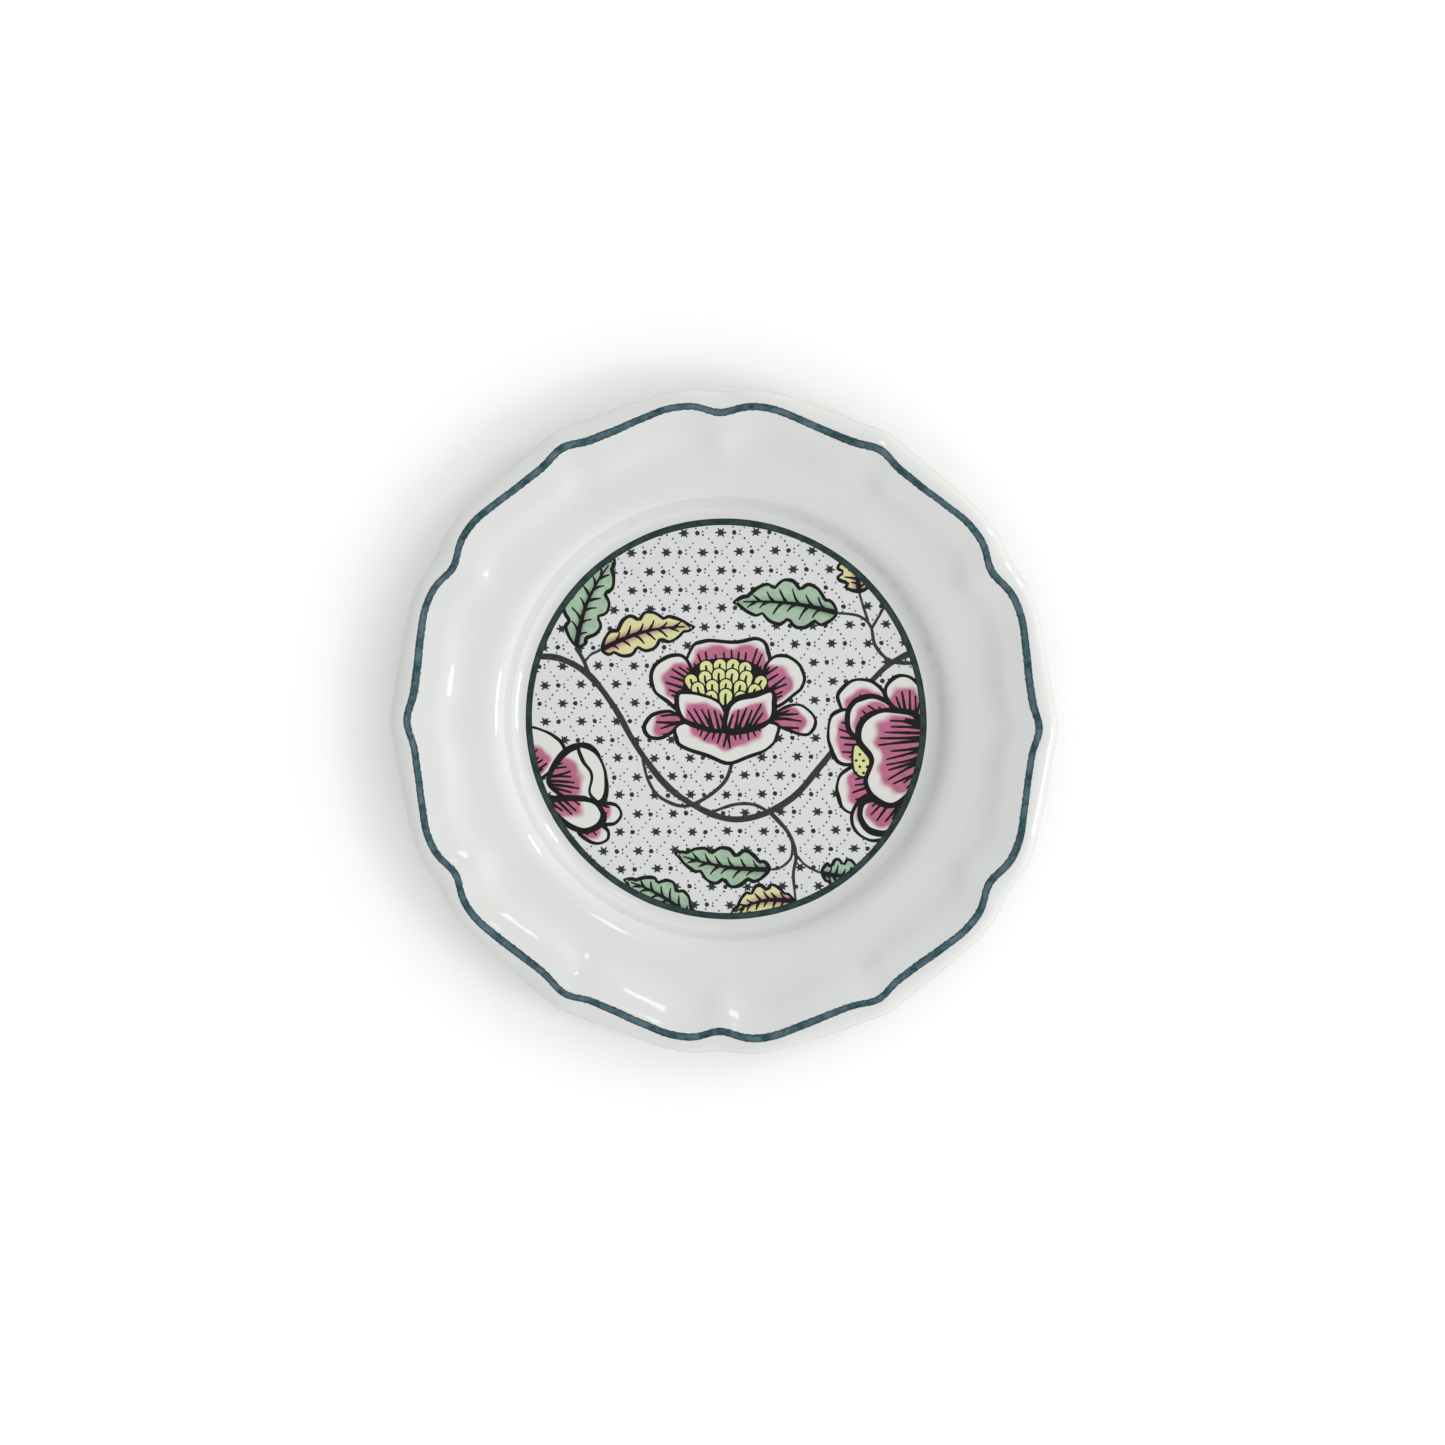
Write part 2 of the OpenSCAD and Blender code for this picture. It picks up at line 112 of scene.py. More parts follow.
def smooth_rows(rows, spacing):
    """A smooth run of rows through the given ones, about one every spacing millimetres."""
    rows = np.array(rows, float)
    gaps = np.linalg.norm(np.diff(rows[:, :2], axis=0), axis=1)
    slope = np.diff(rows, axis=0) / gaps[:, None]
    tangent = np.empty_like(rows)
    tangent[0], tangent[-1] = slope[0], slope[-1]
    weight = gaps[1:] / (gaps[1:] + gaps[:-1])
    tangent[1:-1] = slope[:-1] * weight[:, None] + slope[1:] * (1 - weight)[:, None]
    out = []
    for i, gap in enumerate(gaps):
        steps = max(1, int(round(gap / spacing)))
        for k in range(steps):
            t = k / steps
            a, b = 2 * t**3 - 3 * t**2 + 1, t**3 - 2 * t**2 + t
            c, d = -2 * t**3 + 3 * t**2, t**3 - t**2
            out.append(a * rows[i] + b * gap * tangent[i] + c * rows[i + 1] + d * gap * tangent[i + 1])
    out.append(rows[-1])
    return np.array(out)


def raised(rows, base):
    """Rows with their heights fitted to the part and counted from base."""
    return [(r, base + h * RISE_K, share, swell) for r, h, share, swell in rows]


face_rows = smooth_rows(raised(FACE_ROWS, FLOOR_Z), FACE_SPACING)
back_rows = smooth_rows(raised(BACK_ROWS, UNDER_Z), BACK_SPACING)


def turned(rows, angles):
    """Points of section rows (radius, z, share, swell) at the given angles: an array rows x angles x 3."""
    rows = np.asarray(rows, float)
    wave = bracket(angles)
    swell = LIP_SWELL * np.cos(LIP_WAVES * angles)
    r = SIZE_K * (rows[:, 0:1] + rows[:, 2:3] * wave + rows[:, 3:4] * swell)
    z = np.broadcast_to(rows[:, 1:2], r.shape)
    return np.stack([r * np.cos(angles), r * np.sin(angles), z], axis=-1)


# ---------------- mesh helpers
def make_piece(name, points, faces, material, node, marks):
    """A mesh piece that rides the plate. Points are in millimetres; marks are per-point values by name."""
    mesh = bpy.data.meshes.new(name)
    mesh.from_pydata((np.asarray(points) * MM).tolist(), [], [tuple(f) for f in faces])
    for mark, values in marks.items():
        layer = mesh.attributes.new(mark, "FLOAT", "POINT")
        layer.data.foreach_set("value", np.asarray(values, np.float32))
    mesh.validate()
    mesh.update()
    mesh.shade_smooth()
    mesh.materials.append(material)
    piece = bpy.data.objects.new(name, mesh)
    bpy.context.scene.collection.objects.link(piece)
    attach(piece, "root")
    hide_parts(node)
    return piece


def ring_faces(rows, steps, closed):
    """Quads between neighbouring rings of points; closed joins the last ring to the first."""
    last = rows if closed else rows - 1
    j, i = np.meshgrid(np.arange(last), np.arange(steps), indexing="ij")
    a = j * steps + i
    b = j * steps + (i + 1) % steps
    c = ((j + 1) % rows) * steps + (i + 1) % steps
    d = ((j + 1) % rows) * steps + i
    return np.stack([a, b, c, d], axis=-1).reshape(-1, 4).tolist()


# ---------------- shader helpers
def value_group(name, *outputs):
    """A shader node group that puts out the named values, and its output node."""
    tree = bpy.data.node_groups.new(name, "ShaderNodeTree")
    for label in outputs:
        tree.interface.new_socket(label, in_out="OUTPUT", socket_type="NodeSocketFloat")
    return tree, tree.nodes.new("NodeGroupOutput")


def add(tree, kind, **settings):
    """A node of the given kind in the tree."""
    node = tree.nodes.new(kind)
    for key, value in settings.items():
        setattr(node, key, value)
    return node


def object_place(tree):
    return add(tree, "ShaderNodeTexCoord").outputs["Object"]


def noise_at(tree, vector, scale, detail=3.0, rough=0.55):
    node = add(tree, "ShaderNodeTexNoise")
    node.inputs["Scale"].default_value = scale
    node.inputs["Detail"].default_value = detail
    node.inputs["Roughness"].default_value = rough
    tree.links.new(vector, node.inputs["Vector"])
    return node.outputs["Fac"]


def maths(tree, operation, a, b=None):
    node = add(tree, "ShaderNodeMath", operation=operation)
    for socket, value in zip(node.inputs, (a, b)):
        if value is None:
            continue
        if isinstance(value, (int, float)):
            socket.default_value = value
        else:
            tree.links.new(value, socket)
    return node.outputs[0]


def ranged(tree, value, low, high, to_low=0.0, to_high=1.0, smooth=True):
    """A value that runs from low to high, made to run from to_low to to_high and held there."""
    node = add(tree, "ShaderNodeMapRange", interpolation_type="SMOOTHSTEP" if smooth else "LINEAR")
    tree.links.new(value, node.inputs["Value"])
    node.inputs["From Min"].default_value = low
    node.inputs["From Max"].default_value = high
    node.inputs["To Min"].default_value = to_low
    node.inputs["To Max"].default_value = to_high
    return node.outputs["Result"]


def mixed(tree, factor, a, b):
    """The colour a turned into b by a factor."""
    node = add(tree, "ShaderNodeMix", data_type="RGBA")
    for socket, value in ((node.inputs[0], factor), (node.inputs[6], a), (node.inputs[7], b)):
        if isinstance(value, (int, float)):
            socket.default_value = value
        elif isinstance(value, tuple):
            socket.default_value = (*value, 1.0)
        else:
            tree.links.new(value, socket)
    return node.outputs[2]


def srgb(r, g, b):
    """A colour given as 0 to 255 values, made linear."""
    def linear(v):
        v /= 255.0
        return v / 12.92 if v <= 0.04045 else ((v + 0.055) / 1.055) ** 2.4
    return (linear(r), linear(g), linear(b))


# ---------------- shared effects
def glaze_skin_group():
    """The faint waviness of a dipped glaze, and how its polish varies."""
    tree, out = value_group("glaze_skin", "Height", "Rough")
    place = object_place(tree)
    slow = noise_at(tree, place, 22.0, 2.0, 0.45)
    fine = noise_at(tree, place, 150.0, 2.0, 0.5)
    height = maths(tree, "ADD", maths(tree, "MULTIPLY", slow, 0.8), maths(tree, "MULTIPLY", fine, 0.2))
    tree.links.new(height, out.inputs["Height"])
    polish = noise_at(tree, place, 60.0, 4.0)
    tree.links.new(ranged(tree, polish, 0.3, 0.75, 0.05, 0.09), out.inputs["Rough"])
    return tree


def ink_grain_group():
    """Light flecks where a print took badly, and the soft mottling of a colour wash."""
    tree, out = value_group("ink_grain", "Flecks", "Mottle")
    place = object_place(tree)
    grain = noise_at(tree, place, 2600.0, 3.0, 0.7)
    tree.links.new(ranged(tree, grain, 0.52, 0.68), out.inputs["Flecks"])
    cloud = maths(tree, "ADD", maths(tree, "MULTIPLY", noise_at(tree, place, 260.0, 3.0), 0.6),
                  maths(tree, "MULTIPLY", noise_at(tree, place, 1300.0, 2.0), 0.4))
    tree.links.new(ranged(tree, cloud, 0.32, 0.68), out.inputs["Mottle"])
    return tree


def brush_drag_group():
    """Streaks that run round the plate, as a banding brush leaves them, and the pools where it was loaded."""
    tree, out = value_group("brush_drag", "Streak", "Pool")
    place = object_place(tree)
    split = add(tree, "ShaderNodeSeparateXYZ")
    tree.links.new(place, split.inputs[0])
    angle = maths(tree, "ARCTAN2", split.outputs["Y"], split.outputs["X"])
    length = add(tree, "ShaderNodeVectorMath", operation="LENGTH")
    tree.links.new(place, length.inputs[0])
    around = add(tree, "ShaderNodeCombineXYZ")
    tree.links.new(maths(tree, "COSINE", angle), around.inputs["X"])
    tree.links.new(maths(tree, "SINE", angle), around.inputs["Y"])
    tree.links.new(maths(tree, "MULTIPLY", length.outputs["Value"], 40.0), around.inputs["Z"])
    streak = noise_at(tree, around.outputs[0], 34.0, 5.0, 0.62)
    pool = noise_at(tree, place, 170.0, 4.0, 0.65)
    tree.links.new(ranged(tree, streak, 0.36, 0.64), out.inputs["Streak"])
    tree.links.new(ranged(tree, pool, 0.36, 0.64), out.inputs["Pool"])
    return tree


glaze_skin = glaze_skin_group()
ink_grain = ink_grain_group()
brush_drag = brush_drag_group()


GLAZE_GLOSS = 0.5
INK_GLOSS = 0.25
COAT = 0.35
COAT_ROUGHNESS = 0.04
WAVE_DEPTH = 0.0006


def glazed_material(name, bump=0.25, gloss=GLAZE_GLOSS, coat=COAT):
    """A material with the glaze's gloss and waviness; the caller fills in its base colour."""
    material = bpy.data.materials.new(name)
    material.use_nodes = True
    tree = material.node_tree
    shader = tree.nodes["Principled BSDF"]
    shader.inputs["Specular IOR Level"].default_value = gloss
    shader.inputs["Coat Weight"].default_value = coat
    shader.inputs["Coat Roughness"].default_value = COAT_ROUGHNESS
    skin = add(tree, "ShaderNodeGroup", node_tree=glaze_skin)
    tree.links.new(skin.outputs["Rough"], shader.inputs["Roughness"])
    relief = add(tree, "ShaderNodeBump")
    relief.inputs["Strength"].default_value = bump
    relief.inputs["Distance"].default_value = WAVE_DEPTH
    tree.links.new(skin.outputs["Height"], relief.inputs["Height"])
    tree.links.new(relief.outputs["Normal"], shader.inputs["Normal"])
    return material, tree, shader, skin


def mark_of(tree, name):
    """The value that the mesh's points carry under this name."""
    node = add(tree, "ShaderNodeAttribute", attribute_type="GEOMETRY", attribute_name=name)
    return node.outputs["Fac"]


WHITE, WHITE_2 = srgb(207, 208, 205), srgb(203, 205, 202)
MEDALLION_WHITE = srgb(203, 206, 205)
# A brownish tint laid on the outer lip below its crest.
LIP_BROWN = srgb(186, 180, 166)
BARE_CLAY = srgb(214, 206, 190)
CLAY_ROUGHNESS = 0.85


def china_material():
    """White glaze with a slow change of tone; marks say where the outer lip is tinted brownish and where the
    clay is bare.
    """
    material, tree, shader, skin = glazed_material("glazed_china")
    tone = ranged(tree, noise_at(tree, object_place(tree), 14.0, 3.0), 0.3, 0.7)
    clay = mark_of(tree, "bare_clay")
    white = mixed(tree, tone, WHITE, WHITE_2)
    medallion = mixed(tree, mark_of(tree, "medallion"), white, MEDALLION_WHITE)
    edge = mixed(tree, mark_of(tree, "lip_brown"), medallion, LIP_BROWN)
    tree.links.new(mixed(tree, clay, edge, BARE_CLAY), shader.inputs["Base Color"])
    rough = add(tree, "ShaderNodeMix", data_type="FLOAT")
    tree.links.new(clay, rough.inputs[0])
    tree.links.new(skin.outputs["Rough"], rough.inputs[2])
    rough.inputs[3].default_value = CLAY_ROUGHNESS
    tree.links.new(rough.outputs[0], shader.inputs["Roughness"])
    coat = maths(tree, "MULTIPLY", maths(tree, "SUBTRACT", 1.0, clay), COAT)
    tree.links.new(coat, shader.inputs["Coat Weight"])
    return material


def banded_material(name, dark, mid, light):
    """Brushed colour: streaks of two tones, and a lighter one where the mark "thinness" lets it show."""
    material, tree, shader, _ = glazed_material(name, 0.4, INK_GLOSS, 0.0)
    drag = add(tree, "ShaderNodeGroup", node_tree=brush_drag)
    streaks = mixed(tree, drag.outputs["Streak"], srgb(*dark), srgb(*mid))
    thin = maths(tree, "MULTIPLY", drag.outputs["Pool"], mark_of(tree, "thinness"))
    tree.links.new(mixed(tree, thin, streaks, srgb(*light)), shader.inputs["Base Color"])
    return material


def printed_material(name, dark, fleck, strength):
    """Printed colour with lighter flecks in it."""
    material, tree, shader, _ = glazed_material(name, gloss=INK_GLOSS, coat=0.0)
    grain = add(tree, "ShaderNodeGroup", node_tree=ink_grain)
    flecks = maths(tree, "MULTIPLY", grain.outputs["Flecks"], strength)
    tree.links.new(mixed(tree, flecks, srgb(*dark), srgb(*fleck)), shader.inputs["Base Color"])
    return material


def washed_material(name, plain, plain_2, wash, wash_2):
    """A colour wash: two mottled tones, and over them a second wash where the mark "wash" says so."""
    material, tree, shader, _ = glazed_material(name)
    grain = add(tree, "ShaderNodeGroup", node_tree=ink_grain)
    ground = mixed(tree, grain.outputs["Mottle"], srgb(*plain), srgb(*plain_2))
    over = mixed(tree, grain.outputs["Mottle"], srgb(*wash), srgb(*wash_2))
    tree.links.new(mixed(tree, mark_of(tree, "wash"), ground, over), shader.inputs["Base Color"])
    return material


china = china_material()
line_colour = banded_material("slate_teal_band", (18, 50, 54), (42, 78, 82), (92, 110, 122))
ring_colour = banded_material("dark_green_band", (16, 36, 36), (26, 50, 48), (50, 70, 70))
star_colour = printed_material("charcoal_stars", (35, 37, 40), (90, 92, 95), 0.55)
vine_colour = printed_material("charcoal_vines", (38, 40, 44), (98, 100, 102), 0.7)
outline_colour = printed_material("black_outlines", (9, 10, 12), (48, 50, 54), 0.35)
green_colour = washed_material(
    "leaf_green", (158, 184, 158), (136, 165, 140), (84, 102, 86), (102, 122, 102))
yellow_colour = washed_material(
    "leaf_yellow", (205, 203, 150), (196, 195, 142), (158, 96, 100), (172, 116, 116))
cream_colour = washed_material(
    "petal_cream", (210, 210, 204), (205, 207, 200), (180, 96, 130), (166, 88, 122))
pink_colour = washed_material(
    "petal_pink", (210, 210, 204), (205, 207, 200), (180, 96, 130), (158, 82, 112))
stamen_colour = washed_material(
    "stamen_yellow", (206, 210, 146), (194, 200, 134), (180, 190, 120), (180, 190, 120))


# ---------------- the plate's body
def plate_body():
    """The fired body: floor, rim, lip, underside and foot, one closed skin turned round the axis."""
    floor = [(r, FLOOR_Z, 0, 0) for r in FLOOR_RADII]
    rows = np.array([*floor, *face_rows.tolist(), *back_rows.tolist(), *FOOT_ROWS])
    angles = np.arange(TURN_STEPS) * 2 * math.pi / TURN_STEPS
    points = turned(rows, angles).reshape(-1, 3)
    count = len(rows)
    faces = [f[::-1] for f in ring_faces(count, TURN_STEPS, False)]
    top, under = len(points), len(points) + 1
    points = np.vstack([points, [(0, 0, FLOOR_Z), (0, 0, UNDER_Z)]])
    last = (count - 1) * TURN_STEPS
    for i in range(TURN_STEPS):
        j = (i + 1) % TURN_STEPS
        faces.append((top, i, j))
        faces.append((under, last + j, last + i))

    def per_point(row_values, top_value=0):
        """One value for each ring of points, then one for the middle of the face and of the underside."""
        return np.append(np.repeat(row_values * 1.0, TURN_STEPS), [top_value, 0])

    index = np.arange(count) - (count - len(FOOT_ROWS))
    # The outer lip below its crest is tinted brownish, fading in outward from LIP_FROM.
    lip = np.clip((rows[:, 0] - LIP_FROM) / LIP_FADE, 0, 1)
    lip = lip * (rows[:, 1] < body_high.z / MM - LIP_BELOW_CREST)
    marks = {
        "medallion": per_point((rows[:, 0] < ART_R) & (rows[:, 1] > FLOOR_Z - 0.1), 1),
        "bare_clay": per_point((index >= BARE_ROWS[0]) & (index <= BARE_ROWS[1])),
        "lip_brown": per_point(lip * LIP_BROWN_SHARE),
    }
    make_piece("plate_body", points, faces, china, "body", marks)


plate_body()


# ---------------- painted bands
def wobble(angles, seed, amount, waves=(7, 13, 29, 61)):
    """A slow, uneven wander round the plate, as a hand on a banding wheel gives."""
    pick = random.Random(seed)
    out = np.zeros_like(angles)
    for n in waves:
        out += math.sqrt(waves[0] / n) * np.cos(n * angles + pick.uniform(0, 6.3)) * pick.uniform(0.5, 1)
    return out * amount / 1.6


def on_face(radius, angles):
    """Points of the plate's face where its plain radius, before the bracket waves, is as given."""
    z = np.interp(radius, face_rows[:, 0], face_rows[:, 1])
    share = np.interp(radius, face_rows[:, 0], face_rows[:, 2])
    swell = np.interp(radius, face_rows[:, 0], face_rows[:, 3])
    r = SIZE_K * (radius + share * bracket(angles) + swell * LIP_SWELL * np.cos(LIP_WAVES * angles))
    return np.stack([r * np.cos(angles), r * np.sin(angles), z], axis=-1)


# Where a band has its rings of points across its width, and how far the colour shows thin there.
BAND_SHARES = (0, 0.08, 0.25, 0.5, 0.75, 0.92, 1)
BAND_THINNESS = (0, 0.15, 0.65, 0.85, 0.65, 0.15, 0)
BAND_EDGE = 0.35


def band(name, inner, outer, angles, thickness, material, node):
    """A thin closed skin on the plate's face between two edges, thinner along both of them."""
    top = []
    for share in BAND_SHARES:
        lift = thickness * (BAND_EDGE if share in (0, 1) else 1)
        top.append(on_face(inner + (outer - inner) * share, angles) + np.array([0, 0, lift]))
    bottom = [on_face(inner + (outer - inner) * share, angles) for share in (1, 0)]
    faces = [f[::-1] for f in ring_faces(len(BAND_SHARES) + 2, len(angles), True)]
    marks = {"thinness": np.repeat([*BAND_THINNESS, 0, 0], len(angles))}
    make_piece(name, np.concatenate([*top, *bottom]), faces, material, node, marks)


# How far the painted line spreads past its drawn edges, how far these wander, and how ragged they are.
LINE_STEPS = 4 * TURN_STEPS
LINE_T = 0.05
LINE_SPREAD = 0.16
LINE_WANDER = 0.16
LINE_RAG = 0.12
BRISTLES = (211, 307, 401, 523)
line_angles = np.arange(LINE_STEPS) * 2 * math.pi / LINE_STEPS
line_inner = LINE_R - LINE_W / 2 - LINE_SPREAD + wobble(line_angles, 3, LINE_WANDER)
line_outer = LINE_R + LINE_W / 2 + LINE_SPREAD + wobble(line_angles, 5, LINE_WANDER)
line_inner = line_inner + wobble(line_angles, 13, LINE_RAG, BRISTLES)
line_outer = line_outer + wobble(line_angles, 15, LINE_RAG, BRISTLES)
band("rim_band", line_inner, line_outer, line_angles, LINE_T, line_colour, "rim_line")

STEPS_FINE = 2 * TURN_STEPS
RING_INSET = 0.12
fine_angles = np.arange(STEPS_FINE) * 2 * math.pi / STEPS_FINE
band("medallion_band", np.full(STEPS_FINE, ART_R), RING_R - RING_INSET + wobble(fine_angles, 8, 0.08),
     fine_angles, INK, ring_colour, "medallion_ring")


# ---------------- drawing helpers for the print
def through(a, b, c, d, t):
    """The place at share t of the way from b to c, on a smooth curve through all four."""
    return (2 * b + (c - a) * t + (2 * a - 5 * b + 4 * c - d) * t**2 + (3 * b - a - 3 * c + d) * t**3) / 2


def closed_curve(points, steps):
    """A smooth loop through the points, with this many steps from each to the next."""
    p = np.array(points, float)
    four = (q[:, None, :] for q in (np.roll(p, 1, 0), p, np.roll(p, -1, 0), np.roll(p, -2, 0)))
    return through(*four, (np.arange(steps) / steps)[None, :, None]).reshape(-1, 2)


def open_curve(points, steps):
    """A smooth line through the points, with this many steps from each to the next."""
    p = [np.array(q, float) for q in points]
    out = []
    for i in range(len(p) - 1):
        four = p[max(i - 1, 0)], p[i], p[i + 1], p[min(i + 2, len(p) - 1)]
        out.extend(through(*four, k / steps) for k in range(steps))
    out.append(p[-1])
    return np.array(out)


def normals_of(path, closed):
    """Unit vectors to the left of the path at each of its points."""
    ahead = np.roll(path, -1, 0) - np.roll(path, 1, 0)
    if not closed:
        ahead[0], ahead[-1] = path[1] - path[0], path[-1] - path[-2]
    ahead /= np.maximum(np.linalg.norm(ahead, axis=1, keepdims=True), 1e-9)
    return np.stack([-ahead[:, 1], ahead[:, 0]], axis=1)


def ribbon(path, widths):
    """The loop round a path drawn with the given widths."""
    side = normals_of(path, False) * (np.asarray(widths)[:, None] / 2)
    return np.vstack([path + side, (path - side)[::-1]])


def rough_widths(count, low, high, rate, seed):
    """Brush widths that wander between low and high."""
    pick = random.Random(seed)
    knots = [pick.uniform(0, 1) for _ in range(max(4, int(count * rate)) + 2)]
    at = np.linspace(0, len(knots) - 1.001, count)
    i = at.astype(int)
    t = at - i
    t = t * t * (3 - 2 * t)
    knots = np.array(knots)
    return low + (high - low) * (knots[i] * (1 - t) + knots[np.minimum(i + 1, len(knots) - 1)] * t)


def drawn_in(loop, widths):
    """The loop moved inward by the given widths, or outward where they are negative."""
    area = np.sum(loop[:, 0] * np.roll(loop[:, 1], -1) - np.roll(loop[:, 0], -1) * loop[:, 1])
    side = normals_of(loop, True) * (1 if area > 0 else -1)
    return loop + side * np.asarray(widths)[:, None]


# ---------------- the print's drawing, in millimetres
# Vines: width at the start, width at the end, points of the line.
VINES = [
    (2.6, 2.4, [(-80, 25), (-68, 24.5), (-56, 18), (-45.5, 5), (-36, -11.5), (-24, -27), (-11, -36),
                (2, -40.5), (15, -38.5), (28, -31), (38, -19.5), (44, -12)]),
    (1.2, 1.6, [(-34, -15), (-31.5, -25), (-26.5, -32), (-17, -35.5), (-8, -32), (0, -25), (3, -17)]),
    (1.3, 1.3, [(-6, -38), (4, -34.5), (12, -34.5), (19, -38)]),
    (1.8, 1, [(19, -38), (26, -46), (29, -55), (28, -63), (29, -74)]),
    (1, 1, [(27.5, -50), (27, -56), (23, -60), (19, -61)]),
    (1, 1, [(28.5, -54), (33, -59), (39, -62)]),
    (1.6, 1.6, [(-56, 19), (-58, 24), (-61, 29)]),
    (1, 1, [(-57.5, 23), (-55, 26), (-51, 28)]),
    (2.6, 2.2, [(82, 30), (74, 27.5), (66, 23), (59, 16)]),
    (1.6, 1, [(76, 24), (67, 25), (61, 31), (59, 39), (54, 43), (46, 44)]),
    (1.2, 1, [(59.5, 38), (63, 44), (66, 50)]),
    (1.2, 1, [(58, 41), (56, 47), (54.5, 52)]),
]
# Leaves: foot, tip, half width, bow, colour.
LEAVES = [
    ((-61, 29), (-45, 66), 9, 3, "green"),
    ((-51, 28), (-12, 38), 8, 3, "yellow"),
    ((46, 44), (3, 48), 9.5, -2, "green"),
    ((54.5, 52), (52, 72), 8, 0, "yellow"),
    ((66, 50), (82, 42), 6, 0, "green"),
    ((19, -61), (-21, -55), 8, 2, "green"),
    ((-12, -83), (-42, -66), 7.5, -2, "green"),
    ((29, -74), (2, -80), 7, -3, "yellow"),
    ((39, -62), (60, -60), 7, -2, "green"),
]
LEAF_LOBES = 4
LOBE_DEPTH = 0.34
# Petals from the back to the front: where the marks spread from, the pink's reach, and points of the edge.
PETALS = [
    ((1, 10), 0.88, [(-15, 17), (-14, 29.5), (-8, 33), (4, 32.5), (13, 34), (18, 29.5), (16.5, 17)]),
    ((-9, 10), 0.76, [(-13, 19), (-17, 26.5), (-24.5, 26), (-30.5, 20.5), (-30, 12.5), (-24.5, 7),
                      (-17, 3)]),
    ((11, 10), 0.76, [(15, 19), (19, 26), (25, 27), (31, 23), (33, 16.5), (29.5, 11), (19, 5)]),
    ((-13, -1), 0.8, [(-17, 1), (-23, 4), (-30, 2.5), (-34, -3), (-31.5, -8), (-25, -8), (-18, -3)]),
    ((15, 0), 0.8, [(19, 2), (25, 6.5), (32, 6.5), (37.5, 0.5), (35, -5.5), (28.5, -5.5), (20, -1.5)]),
    ((1, 2), 0.7, [(-17, -1), (-20.5, -9), (-15, -13), (-7, -15.5), (1, -18.5), (9, -16), (17, -12.5),
                   (21.5, -7), (19, 0)]),
    ((-4, -9), 0.77, [(-20, 7), (-18.5, 11.5), (-10, 11), (-2.5, 8), (0.3, 3), (0.3, -4.5), (-10, -3.5),
                      (-17.5, 0)]),
    ((5, -9), 0.77, [(20.5, 7), (19, 12.5), (11, 10.5), (4, 8.5), (0.3, 3), (0.3, -4.5), (11, -3.5),
                     (18.5, 0)]),
    ((75, -6), 0.8, [(66, 8), (65, 15), (70, 19.5), (77, 18), (82, 10), (80, 0)]),
    ((63, -5), 0.8, [(66, 9), (60, 17), (51, 17), (45.5, 12), (46, 6.5), (50, 0), (58, -4)]),
    ((61, -8), 0.8, [(52, 4), (44, 4), (41.5, -3), (42, -10), (45.5, -17), (52, -18), (60, -12)]),
    ((68, -5), 0.84, [(68, 5), (61, 10.5), (53.5, 9), (49.5, 3), (50.5, -4), (57, -7)]),
    ((66, -24), 0.78, [(58, -17), (48, -20), (45, -27), (47, -35), (53, -38), (62, -34)]),
    ((67, -24), 0.82, [(56, -30), (51, -38), (53, -45), (60, -49), (68, -47), (72, -38), (68, -28)]),
    ((72, -28), 0.84, [(58, -32), (55, -38.5), (58, -44), (65, -45.5), (72, -41), (74, -33)]),
    ((86, -9), 0.8, [(79, 1), (71, 4.5), (62.5, 4.5), (55.5, -0.5), (54.5, -8), (59.5, -15.5), (57, -24),
                     (60, -31), (67.5, -34), (76, -29), (82, -20)]),
    ((-84, -24), 0.64, [(-82, -5), (-74, -5), (-67, -9), (-65.5, -15), (-72, -23), (-82, -27)]),
    ((-78, -26), 0.66, [(-66, -14), (-58, -11), (-52.5, -15), (-49, -24), (-49.5, -33), (-56, -38),
                        (-64, -34), (-73, -26)]),
    ((-72, -20), 0.2, [(-60.5, -11), (-53, -13.5), (-48.7, -21), (-48.3, -30), (-52, -35), (-56, -31),
                       (-55.5, -23), (-59.5, -17)]),
    ((-62, -34), 0.78, [(-52, -35), (-45, -34.5), (-42, -39.5), (-46, -44), (-54, -43)]),
    ((-62, -40), 0.78, [(-55, -42), (-48, -45), (-48, -50), (-54, -52), (-61, -47)]),
    ((-76, -28), 0.68, [(-56, -33), (-50, -38), (-51, -43.5), (-58, -46.5), (-66, -43), (-73, -34)]),
]
# The petals that the stamens and the seed patch lie just behind.
STAMEN_COVER = 6
SEED_COVER = 15
HEART_EDGE = [(-17, 15), (-12.5, 22), (-5, 25), (6, 25), (14, 22), (17.5, 15.5), (16.5, 8), (0.5, -2),
              (-15.5, 8)]
# Rows of stamens, from the back to the front: height, first and last place across, how many.
STAMEN_ROWS = [(22.3, -7.5, 8.5, 4), (18.4, -14, 14.6, 6), (14.2, -11, 12, 5), (10, -5.6, 6.6, 3)]
ROW_DROOP = 0.012
STAMEN_W = 6.2
STAMEN_H = 7.0
SEED_POINTS = [(52, -9.5), (57, -10.5), (61, -17), (57, -23), (52, -20)]
STAR_STEP = (14.7, 7.6)
ROW_RISE = math.radians(1.4)
DOT_PLACE = (5.4, 0.0)
# Small dots round each large one, in chains that join it to its neighbours.
CHAIN_DOTS = [(2.4, 0.7), (2.4, -0.7), (-0.5, 2.0), (-0.5, -2.0), (4.1, 2.0), (5.5, 3.6), (-1.5, 3.8),
              (-2.9, 5.5)]
# A star's points: direction in degrees and reach.
STAR_POINTS = [(0, 2.25), (55, 2.15), (90, 1.35), (125, 2.15), (180, 2.25), (235, 2.1), (270, 1.35),
               (305, 2.1)]
STAR_CORE_R = 1.08
STAR_TIP = 0.09
DOT_R = 0.98

# Ranks: what has a higher one lies in front.
GROUND_RANK, VINE_RANK, LEAF_RANK, PETAL_RANK = 0, 1, 10, 100
